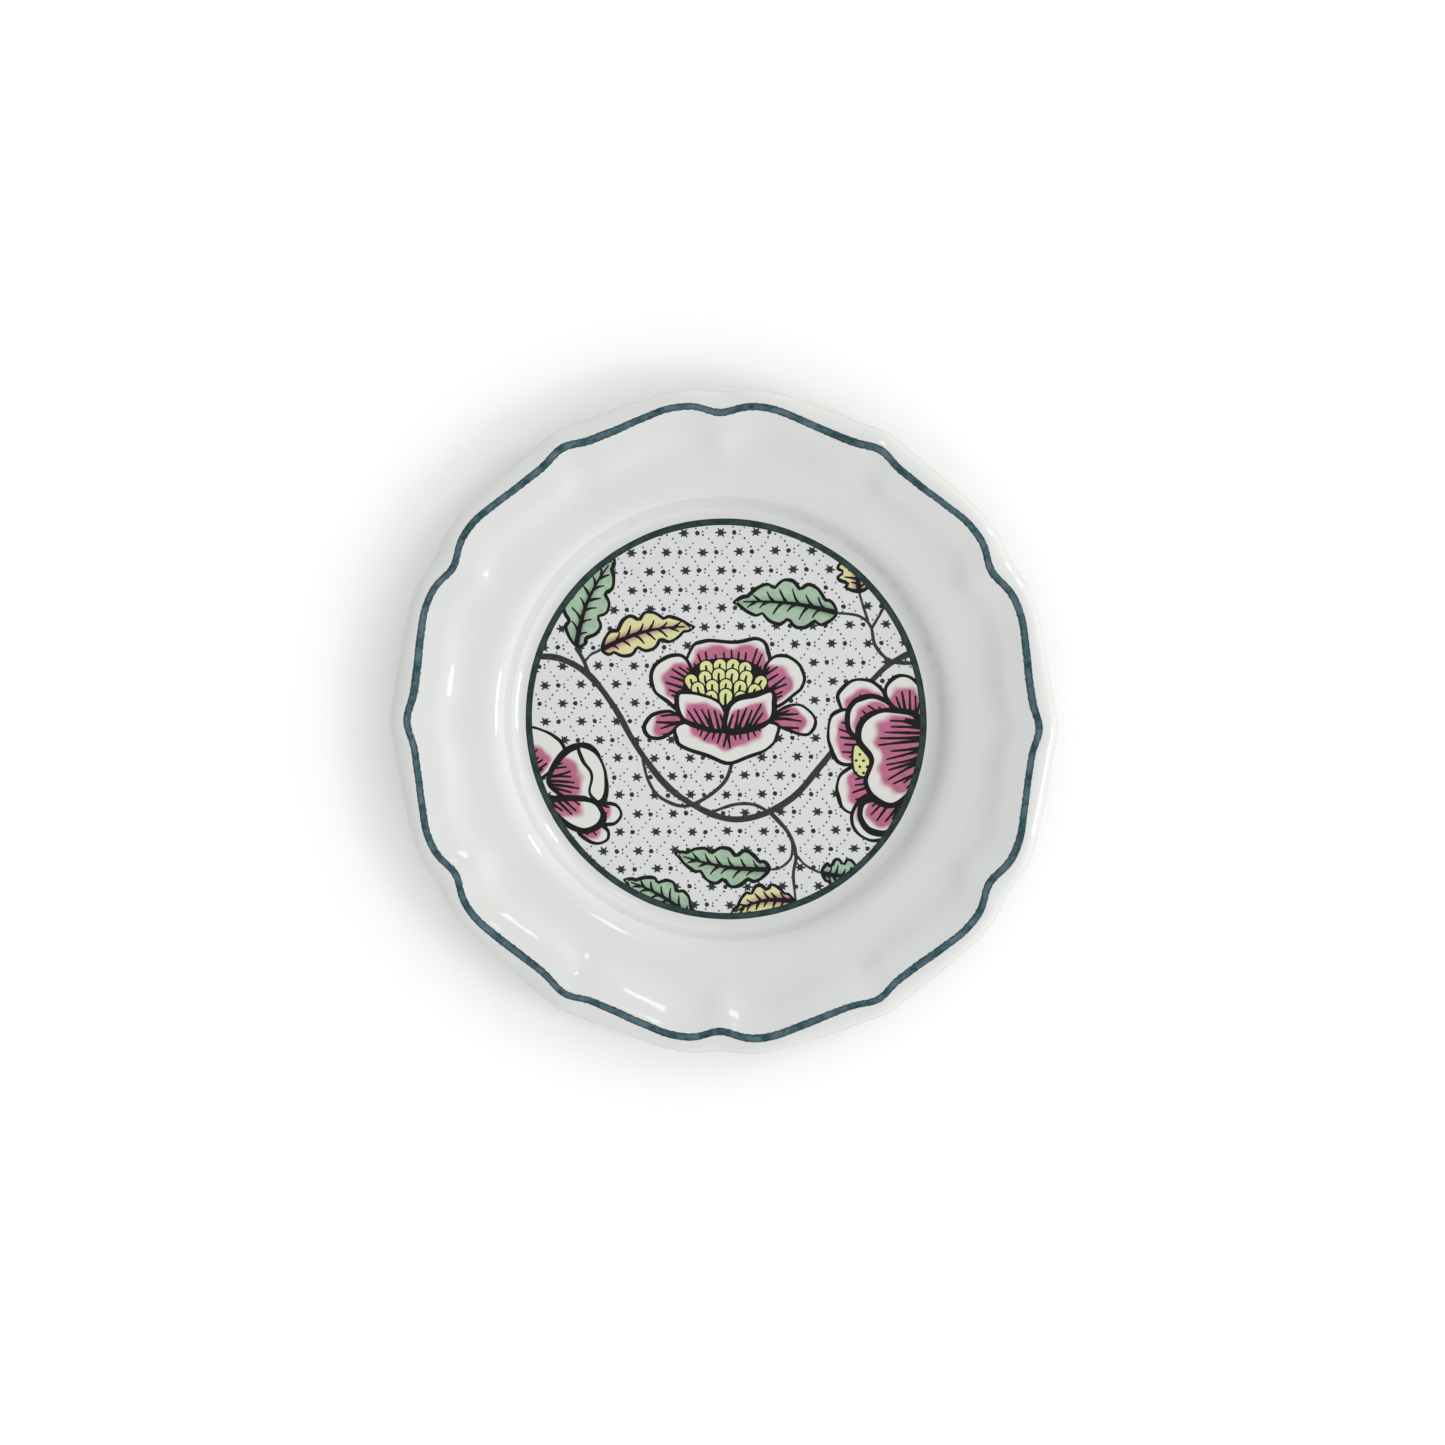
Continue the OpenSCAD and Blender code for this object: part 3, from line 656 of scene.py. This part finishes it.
# What is drawn: each entry is (rank, kind, loop). A kind is the name of the layer that fills the shape,
# or "inside" for what its outline leaves open, or "stroke" for black.
drawing = []


def draw(rank, kind, loop):
    drawing.append((rank, kind, loop))


def leaf_point(leaf, t, side, share=1.0):
    """A point of a leaf at share t of its length: at its lobed edge, or at a share of the way out to it."""
    foot, tip, half, bow, _ = leaf
    foot, tip = np.array(foot, float), np.array(tip, float)
    axis = tip - foot
    over = np.array([-axis[1], axis[0]]) / np.linalg.norm(axis)
    swell = max(math.sin(math.pi * t**0.8), 0) ** 0.75
    shift = 0.15 if side > 0 else 0.5
    lobe = 1.08 - LOBE_DEPTH * (1 - abs(math.sin(math.pi * (LEAF_LOBES * t + shift)))) ** 1.5
    return foot + axis * t + over * (side * share * half * swell * lobe + bow * math.sin(math.pi * t))


LEAF_STEPS = 90
LEAF_VEINS = 6
# Widths of the black lines: the least and the most of an outline, and the root and the tip of a stroke.
LEAF_OUTLINE, PETAL_OUTLINE, DEEP_OUTLINE = (1.08, 1.83), (1.03, 1.83), (-1.5, -0.5)
RIB_W, VEIN_W, HATCH_W = (2.3, 0.6), (1.6, 0.5), (2.1, 0.75)


def draw_leaf(number, leaf):
    """A lobed leaf with its outline, its rib and the veins to both sides."""
    rank = LEAF_RANK + number
    out, back = range(LEAF_STEPS + 1), range(LEAF_STEPS - 1, 0, -1)
    edge = np.array([leaf_point(leaf, i / LEAF_STEPS, side)
                     for side, run in ((1, out), (-1, back)) for i in run])
    draw(rank, "leaf_" + leaf[4], edge)
    draw(rank, "inside", drawn_in(edge, rough_widths(len(edge), *LEAF_OUTLINE, 0.12, 100 + number)))
    rib = open_curve([leaf_point(leaf, t, 1, 0) for t in (0, 0.22, 0.45, 0.7, 0.9)], 8)
    draw(rank, "stroke", ribbon(rib, np.linspace(*RIB_W, len(rib))))
    pick = random.Random(200 + number)
    for side in (-1, 1):
        for k in range(LEAF_VEINS):
            t = 0.12 + 0.125 * k + (0.04 if side > 0 else 0) + pick.uniform(-0.012, 0.012)
            reach = 0.5 + pick.uniform(-0.08, 0.1)
            vein = open_curve([leaf_point(leaf, t, side, 0), leaf_point(leaf, t + 0.045, side, reach * 0.5),
                               leaf_point(leaf, t + 0.075, side, reach)], 4)
            draw(rank, "stroke", brush_stroke(vein, *VEIN_W, 260 + 20 * number + k))


# Hatching: how far behind a petal's foot its strokes seem to start, the gap between them along the edge,
# and the shortest distance from the foot to the edge that still gets one.
HATCH_SET_BACK = 0.9
HATCH_GAP = 4.3
HATCH_NEAREST = 9
# Petals that lie over others and have a heavier line round them.
DEEP_EDGED = (6, 7, 11, 14, 15, 17, 21)


def brush_stroke(path, root_w, tip_w, seed):
    """A stroke that narrows from its root and ends in a rounded tip."""
    t = np.linspace(0, 1, len(path))
    widths = (root_w + (tip_w - root_w) * t ** 0.8) * rough_widths(len(path), 0.85, 1.18, 0.5, seed)
    body = ribbon(path, widths)
    line = path[-1] - path[-2]
    line /= np.linalg.norm(line)
    over = np.array([-line[1], line[0]])
    half = widths[-1] / 2
    turns = (0.8, math.pi / 2, math.pi - 0.8)
    cap = [path[-1] + half * (math.cos(a) * over + math.sin(a) * line) for a in turns]
    return np.vstack([body[:len(path)], cap, body[len(path):]])


def draw_petal(number, petal):
    """A petal with its outline, and hatching that spreads from its foot and follows its shape."""
    rank = PETAL_RANK + number
    start, reach, points = petal
    start = np.array(start, float)
    edge = closed_curve(points, 10)
    edge = drawn_in(edge, rough_widths(len(edge), -0.12, 0.12, 0.22, 300 + number))
    if number in DEEP_EDGED:
        draw(rank - 0.4, "black", drawn_in(edge, rough_widths(len(edge), *DEEP_OUTLINE, 0.1, 450 + number)))
    draw(rank, "petal", edge)
    draw(rank, "inside", drawn_in(edge, rough_widths(len(edge), *PETAL_OUTLINE, 0.1, 400 + number)))
    pick = random.Random(500 + number)
    away = np.linalg.norm(edge - start, axis=1)
    length = np.concatenate([[0], np.cumsum(np.linalg.norm(np.diff(edge, axis=0), axis=1))])
    behind = start - HATCH_SET_BACK * (np.mean(points, axis=0) - start)
    for along in np.arange(HATCH_GAP / 2, length[-1], HATCH_GAP):
        i = int(np.argmin(abs(length - along)))
        if away[i] < HATCH_NEAREST:
            continue
        end = start + (edge[i] - start) * (reach - 0.07 + pick.uniform(-0.1, 0.03))
        line = (end - behind) / np.linalg.norm(end - behind)
        root = end - line * np.linalg.norm(end - start)
        over = np.array([-line[1], line[0]]) * pick.uniform(-1.1, 1.1)
        path = open_curve([root, (root + end) / 2 + over, end], 8)
        draw(rank, "stroke", brush_stroke(path, *HATCH_W, 600 + 40 * number + i))


def turn_by(angle):
    """The matrix that turns points by an angle."""
    return np.array([[math.cos(angle), -math.sin(angle)], [math.sin(angle), math.cos(angle)]])


def draw_stamens():
    """Rows of arched stamens, each with a slit, on a black heart that shows between them."""
    draw(PETAL_RANK + STAMEN_COVER - 0.6, "black", closed_curve(HEART_EDGE, 10))
    places = [(height, first + (last - first) * k / (count - 1))
              for height, first, last, count in STAMEN_ROWS for k in range(count)]
    for number, (height, x) in enumerate(places):
        pick = random.Random(700 + number)
        drift = pick.uniform(-0.25, 0.25)
        place = np.array([x + drift, height - ROW_DROOP * x * x + pick.uniform(-0.2, 0.2)])
        turn = turn_by(math.radians(-1.4 * x + pick.uniform(-6, 6)))
        wide = STAMEN_W * pick.uniform(0.96, 1.04)

        def arch(width, drop):
            top = [(width / 2 * math.cos(a), width / 2 * math.sin(a)) for a in np.linspace(0, math.pi, 13)]
            return np.array([*top, (-width * 0.36, -drop), (width * 0.36, -drop)]) @ turn.T + place

        rank = PETAL_RANK + STAMEN_COVER - 0.5 + 0.01 * number
        draw(rank, "stamen", arch(wide, STAMEN_H - STAMEN_W / 2))
        draw(rank, "inside", arch(wide - 1.25, STAMEN_H - STAMEN_W / 2 + 0.4))
        slit = open_curve([(0.05, 0.8), (-0.15, -1.2), (0.2, -4.2)], 5) @ turn.T + place
        draw(rank, "stroke", ribbon(slit, np.linspace(0.75, 1.3, len(slit))))


def draw_seed_patch():
    """A patch of seeds, in rows that are set half a step from each other."""
    rank = PETAL_RANK + SEED_COVER - 0.5
    edge = closed_curve(SEED_POINTS, 8)
    draw(rank, "stamen", edge)
    draw(rank, "inside", drawn_in(edge, [1.0] * len(edge)))
    for n, y in enumerate(np.arange(-20.8, -11, 2.5)):
        for x in np.arange(53.4 + (1.5 if n % 2 else 0), 59.5, 3.0):
            draw(rank, "stroke", round_dot(np.array([x, y]), 0.62, 9, n))


def round_dot(place, radius, sides, seed):
    """A dot that isn't quite round."""
    pick = random.Random(seed)
    turns = [2 * math.pi * k / sides for k in range(sides)]
    return np.array([place + radius * pick.uniform(0.85, 1.12) * np.array([math.cos(a), math.sin(a)])
                     for a in turns])


def draw_star(place, seed):
    """Six long points and two short ones, none quite alike."""
    pick = random.Random(seed)
    lean = math.radians(pick.uniform(-5, 5))
    points = []
    for angle, reach in STAR_POINTS:
        turn = math.radians(angle + pick.uniform(-4, 4)) + lean
        points.append((turn, reach * pick.uniform(0.9, 1.06)))
    loop = []
    for k, (a, reach) in enumerate(points):
        b = points[(k + 1) % 8][0] + (2 * math.pi if k == 7 else 0)
        for turn, r in ((a - STAR_TIP, reach), (a + STAR_TIP, reach), ((a + b) / 2, STAR_CORE_R)):
            loop.append((r * math.cos(turn), r * math.sin(turn)))
    draw(GROUND_RANK, "star", np.array(loop) + place)


def draw_ground():
    """Rows of stars, each with a large dot beside it and the small dots round that."""
    turn = turn_by(ROW_RISE)
    seed = 0
    for row in range(-11, 12):
        for col in range(-6, 7):
            seed += 1
            pick = random.Random(9000 + seed)
            place = turn @ np.array([(col + (0 if row % 2 == 0 else 0.5)) * STAR_STEP[0], row * STAR_STEP[1]])
            if np.linalg.norm(place) > ART_R + 6:
                continue
            place = place + [pick.uniform(-0.25, 0.25), pick.uniform(-0.25, 0.25)]
            draw_star(place, seed)
            dot = place + turn @ np.array(DOT_PLACE) + [pick.uniform(-0.2, 0.2), pick.uniform(-0.2, 0.2)]
            draw(GROUND_RANK, "star", round_dot(dot, DOT_R, 12, seed + 5000))
            for n, step in enumerate(CHAIN_DOTS):
                if pick.random() < 0.06:
                    continue
                spot = dot + turn @ np.array(step) + [pick.uniform(-0.16, 0.16), pick.uniform(-0.16, 0.16)]
                draw(GROUND_RANK, "star", round_dot(spot, pick.uniform(0.32, 0.44), 7, seed * 10 + n))


draw_ground()
for number, (start_w, end_w, points) in enumerate(VINES):
    path = open_curve(points, 9)
    widths = np.linspace(start_w, end_w, len(path)) * rough_widths(len(path), 0.88, 1.12, 0.25, 50 + number)
    draw(VINE_RANK, "vine", ribbon(path, widths))
for number, leaf in enumerate(LEAVES):
    draw_leaf(number, leaf)
for number, petal in enumerate(PETALS):
    draw_petal(number, petal)
draw_stamens()
draw_seed_patch()


# ---------------- from the drawing to flush colour layers
def covered(loop, spots):
    """Which spots lie inside the loop, by winding number."""
    inside = np.zeros(len(spots), bool)
    low, high = loop.min(0), loop.max(0)
    near = np.nonzero(((spots >= low) & (spots <= high)).all(1))[0]
    if not len(near):
        return inside
    p = spots[near]
    winding = np.zeros(len(near), int)
    for (x0, y0), (x1, y1) in zip(loop, np.roll(loop, -1, 0)):
        side = (x1 - x0) * (p[:, 1] - y0) - (p[:, 0] - x0) * (y1 - y0)
        up = (y0 <= p[:, 1]) & (y1 > p[:, 1]) & (side > 0)
        down = (y0 > p[:, 1]) & (y1 <= p[:, 1]) & (side < 0)
        winding += up.astype(int) - down.astype(int)
    inside[near] = winding != 0
    return inside


SMALL_MARK = 30
SPACING = 0.72
ROW_SHARE = 0.87


def hidden(rank, kind, loop):
    """True if a small mark of the ground lies wholly under one petal or leaf."""
    small = kind == "star" and rank < LEAF_RANK and len(loop) < SMALL_MARK
    return small and any(covered(shape, loop).all() for shape in covers)


art_edge = ART_R * np.stack([np.cos(fine_angles), np.sin(fine_angles)], axis=1)
shapes = [shape for shape in drawing if np.linalg.norm(shape[2], axis=1).min() < ART_R]
covers = [loop for _, kind, loop in shapes if kind in ("petal", "leaf_green", "leaf_yellow")]
shapes = [shape for shape in shapes if not hidden(*shape)]

# Extra points inside the petals and leaves, where the washes need them.
rows, columns = int(ART_R / SPACING / ROW_SHARE), int(ART_R / SPACING)
grid = np.array([((i + 0.5 * (j % 2)) * SPACING, j * SPACING * ROW_SHARE)
                 for j in range(-rows, rows + 1) for i in range(-columns, columns + 1)])
grid = grid[np.linalg.norm(grid, axis=1) < ART_R - 0.5]
grid = grid[np.any([covered(loop, grid) for loop in covers], axis=0)]

# One net of triangles that has every drawn line among its edges, so that neighbouring colours share them.
spots, edges = [*art_edge], [(i, (i + 1) % STEPS_FINE) for i in range(STEPS_FINE)]
for _, _, loop in shapes:
    base, count = len(spots), len(loop)
    spots.extend(loop)
    edges.extend((base + i, base + (i + 1) % count) for i in range(count))
spots.extend(grid)
net = delaunay_2d_cdt([Vector(p) for p in spots], edges, [], 0, 1e-5, False)
net_points = np.array([tuple(p) for p in net[0]])
net_faces = np.array([f for f in net[2] if len(f) == 3])
middles = net_points[net_faces].mean(axis=1)

# The layer that shows in each triangle, and the rank of the shape that owns it.
layer = np.full(len(net_faces), "", dtype="<U12")
owner = np.full(len(net_faces), -1.0)
for rank, kind, loop in sorted(shapes, key=lambda shape: shape[0]):
    if kind not in ("inside", "stroke"):
        mask = covered(loop, middles) & (owner <= rank)
        layer[mask] = kind
        owner[mask] = rank
lines = {"inside": np.zeros(len(net_faces), bool), "stroke": np.zeros(len(net_faces), bool)}
for rank, kind, loop in shapes:
    if kind in lines:
        lines[kind] |= covered(loop, middles) & (owner == rank)
layer[(owner >= LEAF_RANK) & (~lines["inside"] | lines["stroke"])] = "black"
layer[np.linalg.norm(middles, axis=1) > ART_R] = ""


# How strongly the second wash shows at each point of the net, for the shape that owns it.
SECTORS = 180
WASH_FADE = 0.11


def sector_of(way):
    """Where a direction lies among the sectors of a full turn."""
    return (np.arctan2(way[:, 1], way[:, 0]) + math.pi) / (2 * math.pi) * SECTORS


def petal_wash(number, at):
    """Pink out to a share of the way from the petal's foot to its edge, with a soft, ragged end."""
    start, reach, points = PETALS[number]
    edge = closed_curve(points, 10) - start
    edge_at = np.zeros(SECTORS)
    for sector, far in zip(sector_of(edge).astype(int), np.linalg.norm(edge, axis=1)):
        for k in (-1, 0, 1):
            near = (sector + k) % SECTORS
            edge_at[near] = max(edge_at[near], far)
    filled = np.nonzero(edge_at)[0]
    edge_at = np.interp(np.arange(SECTORS), filled, edge_at[filled], period=SECTORS)
    edge_at = np.convolve(np.concatenate([edge_at[-3:], edge_at, edge_at[:3]]), np.ones(7) / 7, "valid")
    way = at - start
    limit = np.interp(sector_of(way) % SECTORS, np.arange(SECTORS), edge_at, period=SECTORS)
    share = np.linalg.norm(way, axis=1) / limit
    ragged = 0.03 * np.sin(at[:, 0] * 0.6 + number) * np.sin(at[:, 1] * 0.7 + 2 * number)
    x = np.clip((reach + 0.05 - share - ragged) / WASH_FADE, 0, 1)
    return x * x * (3 - 2 * x)


def leaf_wash(number, at):
    """The darker wash along the leaf's rib, weaker toward the tip."""
    leaf = LEAVES[number]
    rib = np.array([leaf_point(leaf, t, 1, 0) for t in np.linspace(0, 1, 40)])
    gap = np.linalg.norm(at[:, None, :] - rib[None], axis=2)
    near, along = gap.min(1), gap.argmin(1) / 39
    reach = 3.0 if leaf[4] == "yellow" else 2.6
    x = np.clip(1 - near / (reach * (1.15 - 0.5 * along)), 0, 1)
    return np.clip(x * 1.5, 0, 1) * np.clip(1.3 - along, 0, 1) * (1.0 if leaf[4] == "yellow" else 0.8)


wash = np.zeros(len(net_points))
petals, leaves = layer == "petal", (layer == "leaf_green") | (layer == "leaf_yellow")
for wash_of, first, total, own in ((petal_wash, PETAL_RANK, len(PETALS), petals),
                                   (leaf_wash, LEAF_RANK, len(LEAVES), leaves)):
    for number in range(total):
        ids = np.unique(net_faces[(owner == first + number) & own])
        if len(ids):
            wash[ids] = wash_of(number, net_points[ids])
LEAST_PINK = 0.004
pinkish = petals & (wash[net_faces].max(axis=1) > LEAST_PINK)
SHARP_FROM = math.radians(30)


def colour_layer(name, mask, material, node):
    """A flush, closed skin of one colour, from the net's triangles that belong to it."""
    tris = net_faces[mask]
    flat = net_points[tris]
    cross = np.cross(flat[:, 1] - flat[:, 0], flat[:, 2] - flat[:, 0])
    tris = np.where((cross > 0)[:, None], tris, tris[:, ::-1])[abs(cross) > 1e-9]
    ids, back = np.unique(tris, return_inverse=True)
    tris = back.reshape(-1, 3)
    count = len(ids)
    flat = net_points[ids] * SIZE_K
    points = np.vstack([np.column_stack([flat, np.full(count, FLOOR_Z + INK)]),
                        np.column_stack([flat, np.full(count, FLOOR_Z)])])
    sides = dict.fromkeys(side for a, b, c in tris for side in ((a, b), (b, c), (c, a)))
    walls = [(b, a, a + count, b + count) for a, b in sides if (b, a) not in sides]
    faces = [*tris.tolist(), *(tris[:, ::-1] + count).tolist(), *walls]
    marks = {"wash": np.tile(wash[ids], 2)}
    piece = make_piece(name, points, faces, material, node, marks)
    piece.data.set_sharp_from_angle(angle=SHARP_FROM)


colour_layer("ground_stars", layer == "star", star_colour, "star_print")
colour_layer("vine_strokes", layer == "vine", vine_colour, "vine_print")
colour_layer("leaf_green_wash", layer == "leaf_green", green_colour, "green_leaf_wash")
colour_layer("leaf_yellow_wash", layer == "leaf_yellow", yellow_colour, "yellow_leaf_wash")
colour_layer("petal_cream_wash", petals & ~pinkish, cream_colour, "petal_cream")
colour_layer("petal_pink_wash", pinkish, pink_colour, "petal_pink")
colour_layer("stamen_wash", layer == "stamen", stamen_colour, "stamen_yellow")
colour_layer("black_outline", layer == "black", outline_colour, "key_print")


# ---------------- stage, light and camera
# Brightness of the room: half way across, its change to either side, what the walls add low down,
# and the share that is left below the floor.
ROOM_LEVEL = 0.7
ROOM_SLOPE = 0.26
WALL_GLOW = 1.3
UNDER_LEVEL = 0.6
HORIZON = 0.02
# Windows: name, direction round the plate and from straight up in degrees, distance, width, height, radiance.
WINDOWS = [
    ("window_right", -14, 52, 1.8, 0.42, 0.5, 7.0),
    ("window_back_right", 31, 50, 1.8, 0.16, 0.5, 8.0),
    ("window_overhead", 68, 19, 1.9, 0.14, 0.3, 4.0),
]
WINDOW_AIM = Vector((0, 0, 0.02))
PAPER, PAPER_2 = (0.93, 0.93, 0.93), (0.94, 0.94, 0.94)
PAPER_R = 4.2
PAPER_Z = -0.0001
PAPER_STEPS = 128


def window(name, azimuth, from_zenith, distance, width, height, radiance):
    """A rectangle of even brightness that the glaze mirrors."""
    a, b = math.radians(azimuth), math.radians(from_zenith)
    place = distance * Vector((math.sin(b) * math.cos(a), math.sin(b) * math.sin(a), math.cos(b)))
    data = bpy.data.lights.new(name, "AREA")
    data.shape = "RECTANGLE"
    data.size, data.size_y = width, height
    data.energy = radiance * math.pi * width * height
    light = bpy.data.objects.new(name, data)
    bpy.context.scene.collection.objects.link(light)
    light.location = place
    light.rotation_mode = "QUATERNION"
    light.rotation_quaternion = (WINDOW_AIM - place).to_track_quat("-Z", "Y")


def paper_material():
    """Matt white paper that can be seen through from below, so that the foot stays in view."""
    material = bpy.data.materials.new("studio_paper")
    material.use_nodes = True
    tree = material.node_tree
    shader = tree.nodes["Principled BSDF"]
    shader.inputs["Roughness"].default_value = 0.9
    shader.inputs["Specular IOR Level"].default_value = 0.1
    tone = ranged(tree, noise_at(tree, object_place(tree), 3.0), 0.3, 0.7)
    tree.links.new(mixed(tree, tone, PAPER, PAPER_2), shader.inputs["Base Color"])
    sides = add(tree, "ShaderNodeMixShader")
    tree.links.new(add(tree, "ShaderNodeNewGeometry").outputs["Backfacing"], sides.inputs[0])
    tree.links.new(shader.outputs[0], sides.inputs[1])
    tree.links.new(add(tree, "ShaderNodeBsdfTransparent").outputs[0], sides.inputs[2])
    tree.links.new(sides.outputs[0], tree.nodes["Material Output"].inputs["Surface"])
    return material


def studio_floor():
    """A wide sheet of paper just under the foot, with a round opening that the foot covers, so that light
    from below reaches the foot."""
    turn = np.arange(PAPER_STEPS) * 2 * math.pi / PAPER_STEPS
    radii = (FOOT_OUTER_R * SIZE_K * MM, PAPER_R)
    points = [(r * math.cos(a), r * math.sin(a), PAPER_Z) for r in radii for a in turn]
    mesh = bpy.data.meshes.new("studio_floor")
    mesh.from_pydata(points, [], [f[::-1] for f in ring_faces(2, PAPER_STEPS, False)])
    mesh.materials.append(paper_material())
    floor = bpy.data.objects.new("studio_floor", mesh)
    bpy.context.scene.collection.objects.link(floor)


def soft_room():
    """A white room that is brighter toward the right and low down."""
    world = bpy.data.worlds.new("soft_room")
    world.use_nodes = True
    tree = world.node_tree
    split = add(tree, "ShaderNodeSeparateXYZ")
    tree.links.new(add(tree, "ShaderNodeTexCoord").outputs["Generated"], split.inputs[0])
    x, z = split.outputs["X"], split.outputs["Z"]
    level = ranged(tree, x, -1, 1, ROOM_LEVEL - ROOM_SLOPE, ROOM_LEVEL + ROOM_SLOPE, False)
    walls = ranged(tree, z, 0, 1, 1 + WALL_GLOW, 1, False)
    above = ranged(tree, z, -HORIZON, HORIZON, UNDER_LEVEL, 1, False)
    strength = maths(tree, "MULTIPLY", maths(tree, "MULTIPLY", level, walls), above)
    tree.links.new(strength, tree.nodes["Background"].inputs["Strength"])
    tree.nodes["Background"].inputs["Color"].default_value = (1.0, 1.0, 1.0, 1.0)
    bpy.context.scene.world = world


CAMERA_DISTANCE = 1.6
CAMERA_LEAN = (math.radians(6.2), math.radians(6.5))
CAMERA_AIM = Vector((0.0005, 0.0006, body_high.z - 0.0035))
FRAME_WIDTH = 0.5815
SENSOR_WIDTH = 36.0


def camera():
    """A camera that looks down on the plate from a little toward +X and +Y, with +Y upward in its view."""
    data = bpy.data.cameras.new("studio_camera")
    data.sensor_width = SENSOR_WIDTH
    data.lens = SENSOR_WIDTH * CAMERA_DISTANCE / FRAME_WIDTH
    data.dof.use_dof = False
    view = bpy.data.objects.new("studio_camera", data)
    bpy.context.scene.collection.objects.link(view)
    x, y = math.sin(CAMERA_LEAN[0]), math.sin(CAMERA_LEAN[1])
    back = Vector((x, y, math.sqrt(1 - x * x - y * y)))
    view.location = CAMERA_AIM + back * CAMERA_DISTANCE
    z_axis = back.normalized()
    x_axis = Vector((0, 1, 0)).cross(z_axis).normalized()
    y_axis = z_axis.cross(x_axis)
    view.rotation_mode = "QUATERNION"
    view.rotation_quaternion = Matrix((x_axis, y_axis, z_axis)).transposed().to_quaternion()
    bpy.context.scene.camera = view


studio_floor()
soft_room()
for sizes in WINDOWS:
    window(*sizes)
bpy.context.scene.view_settings.view_transform = "Standard"
camera()
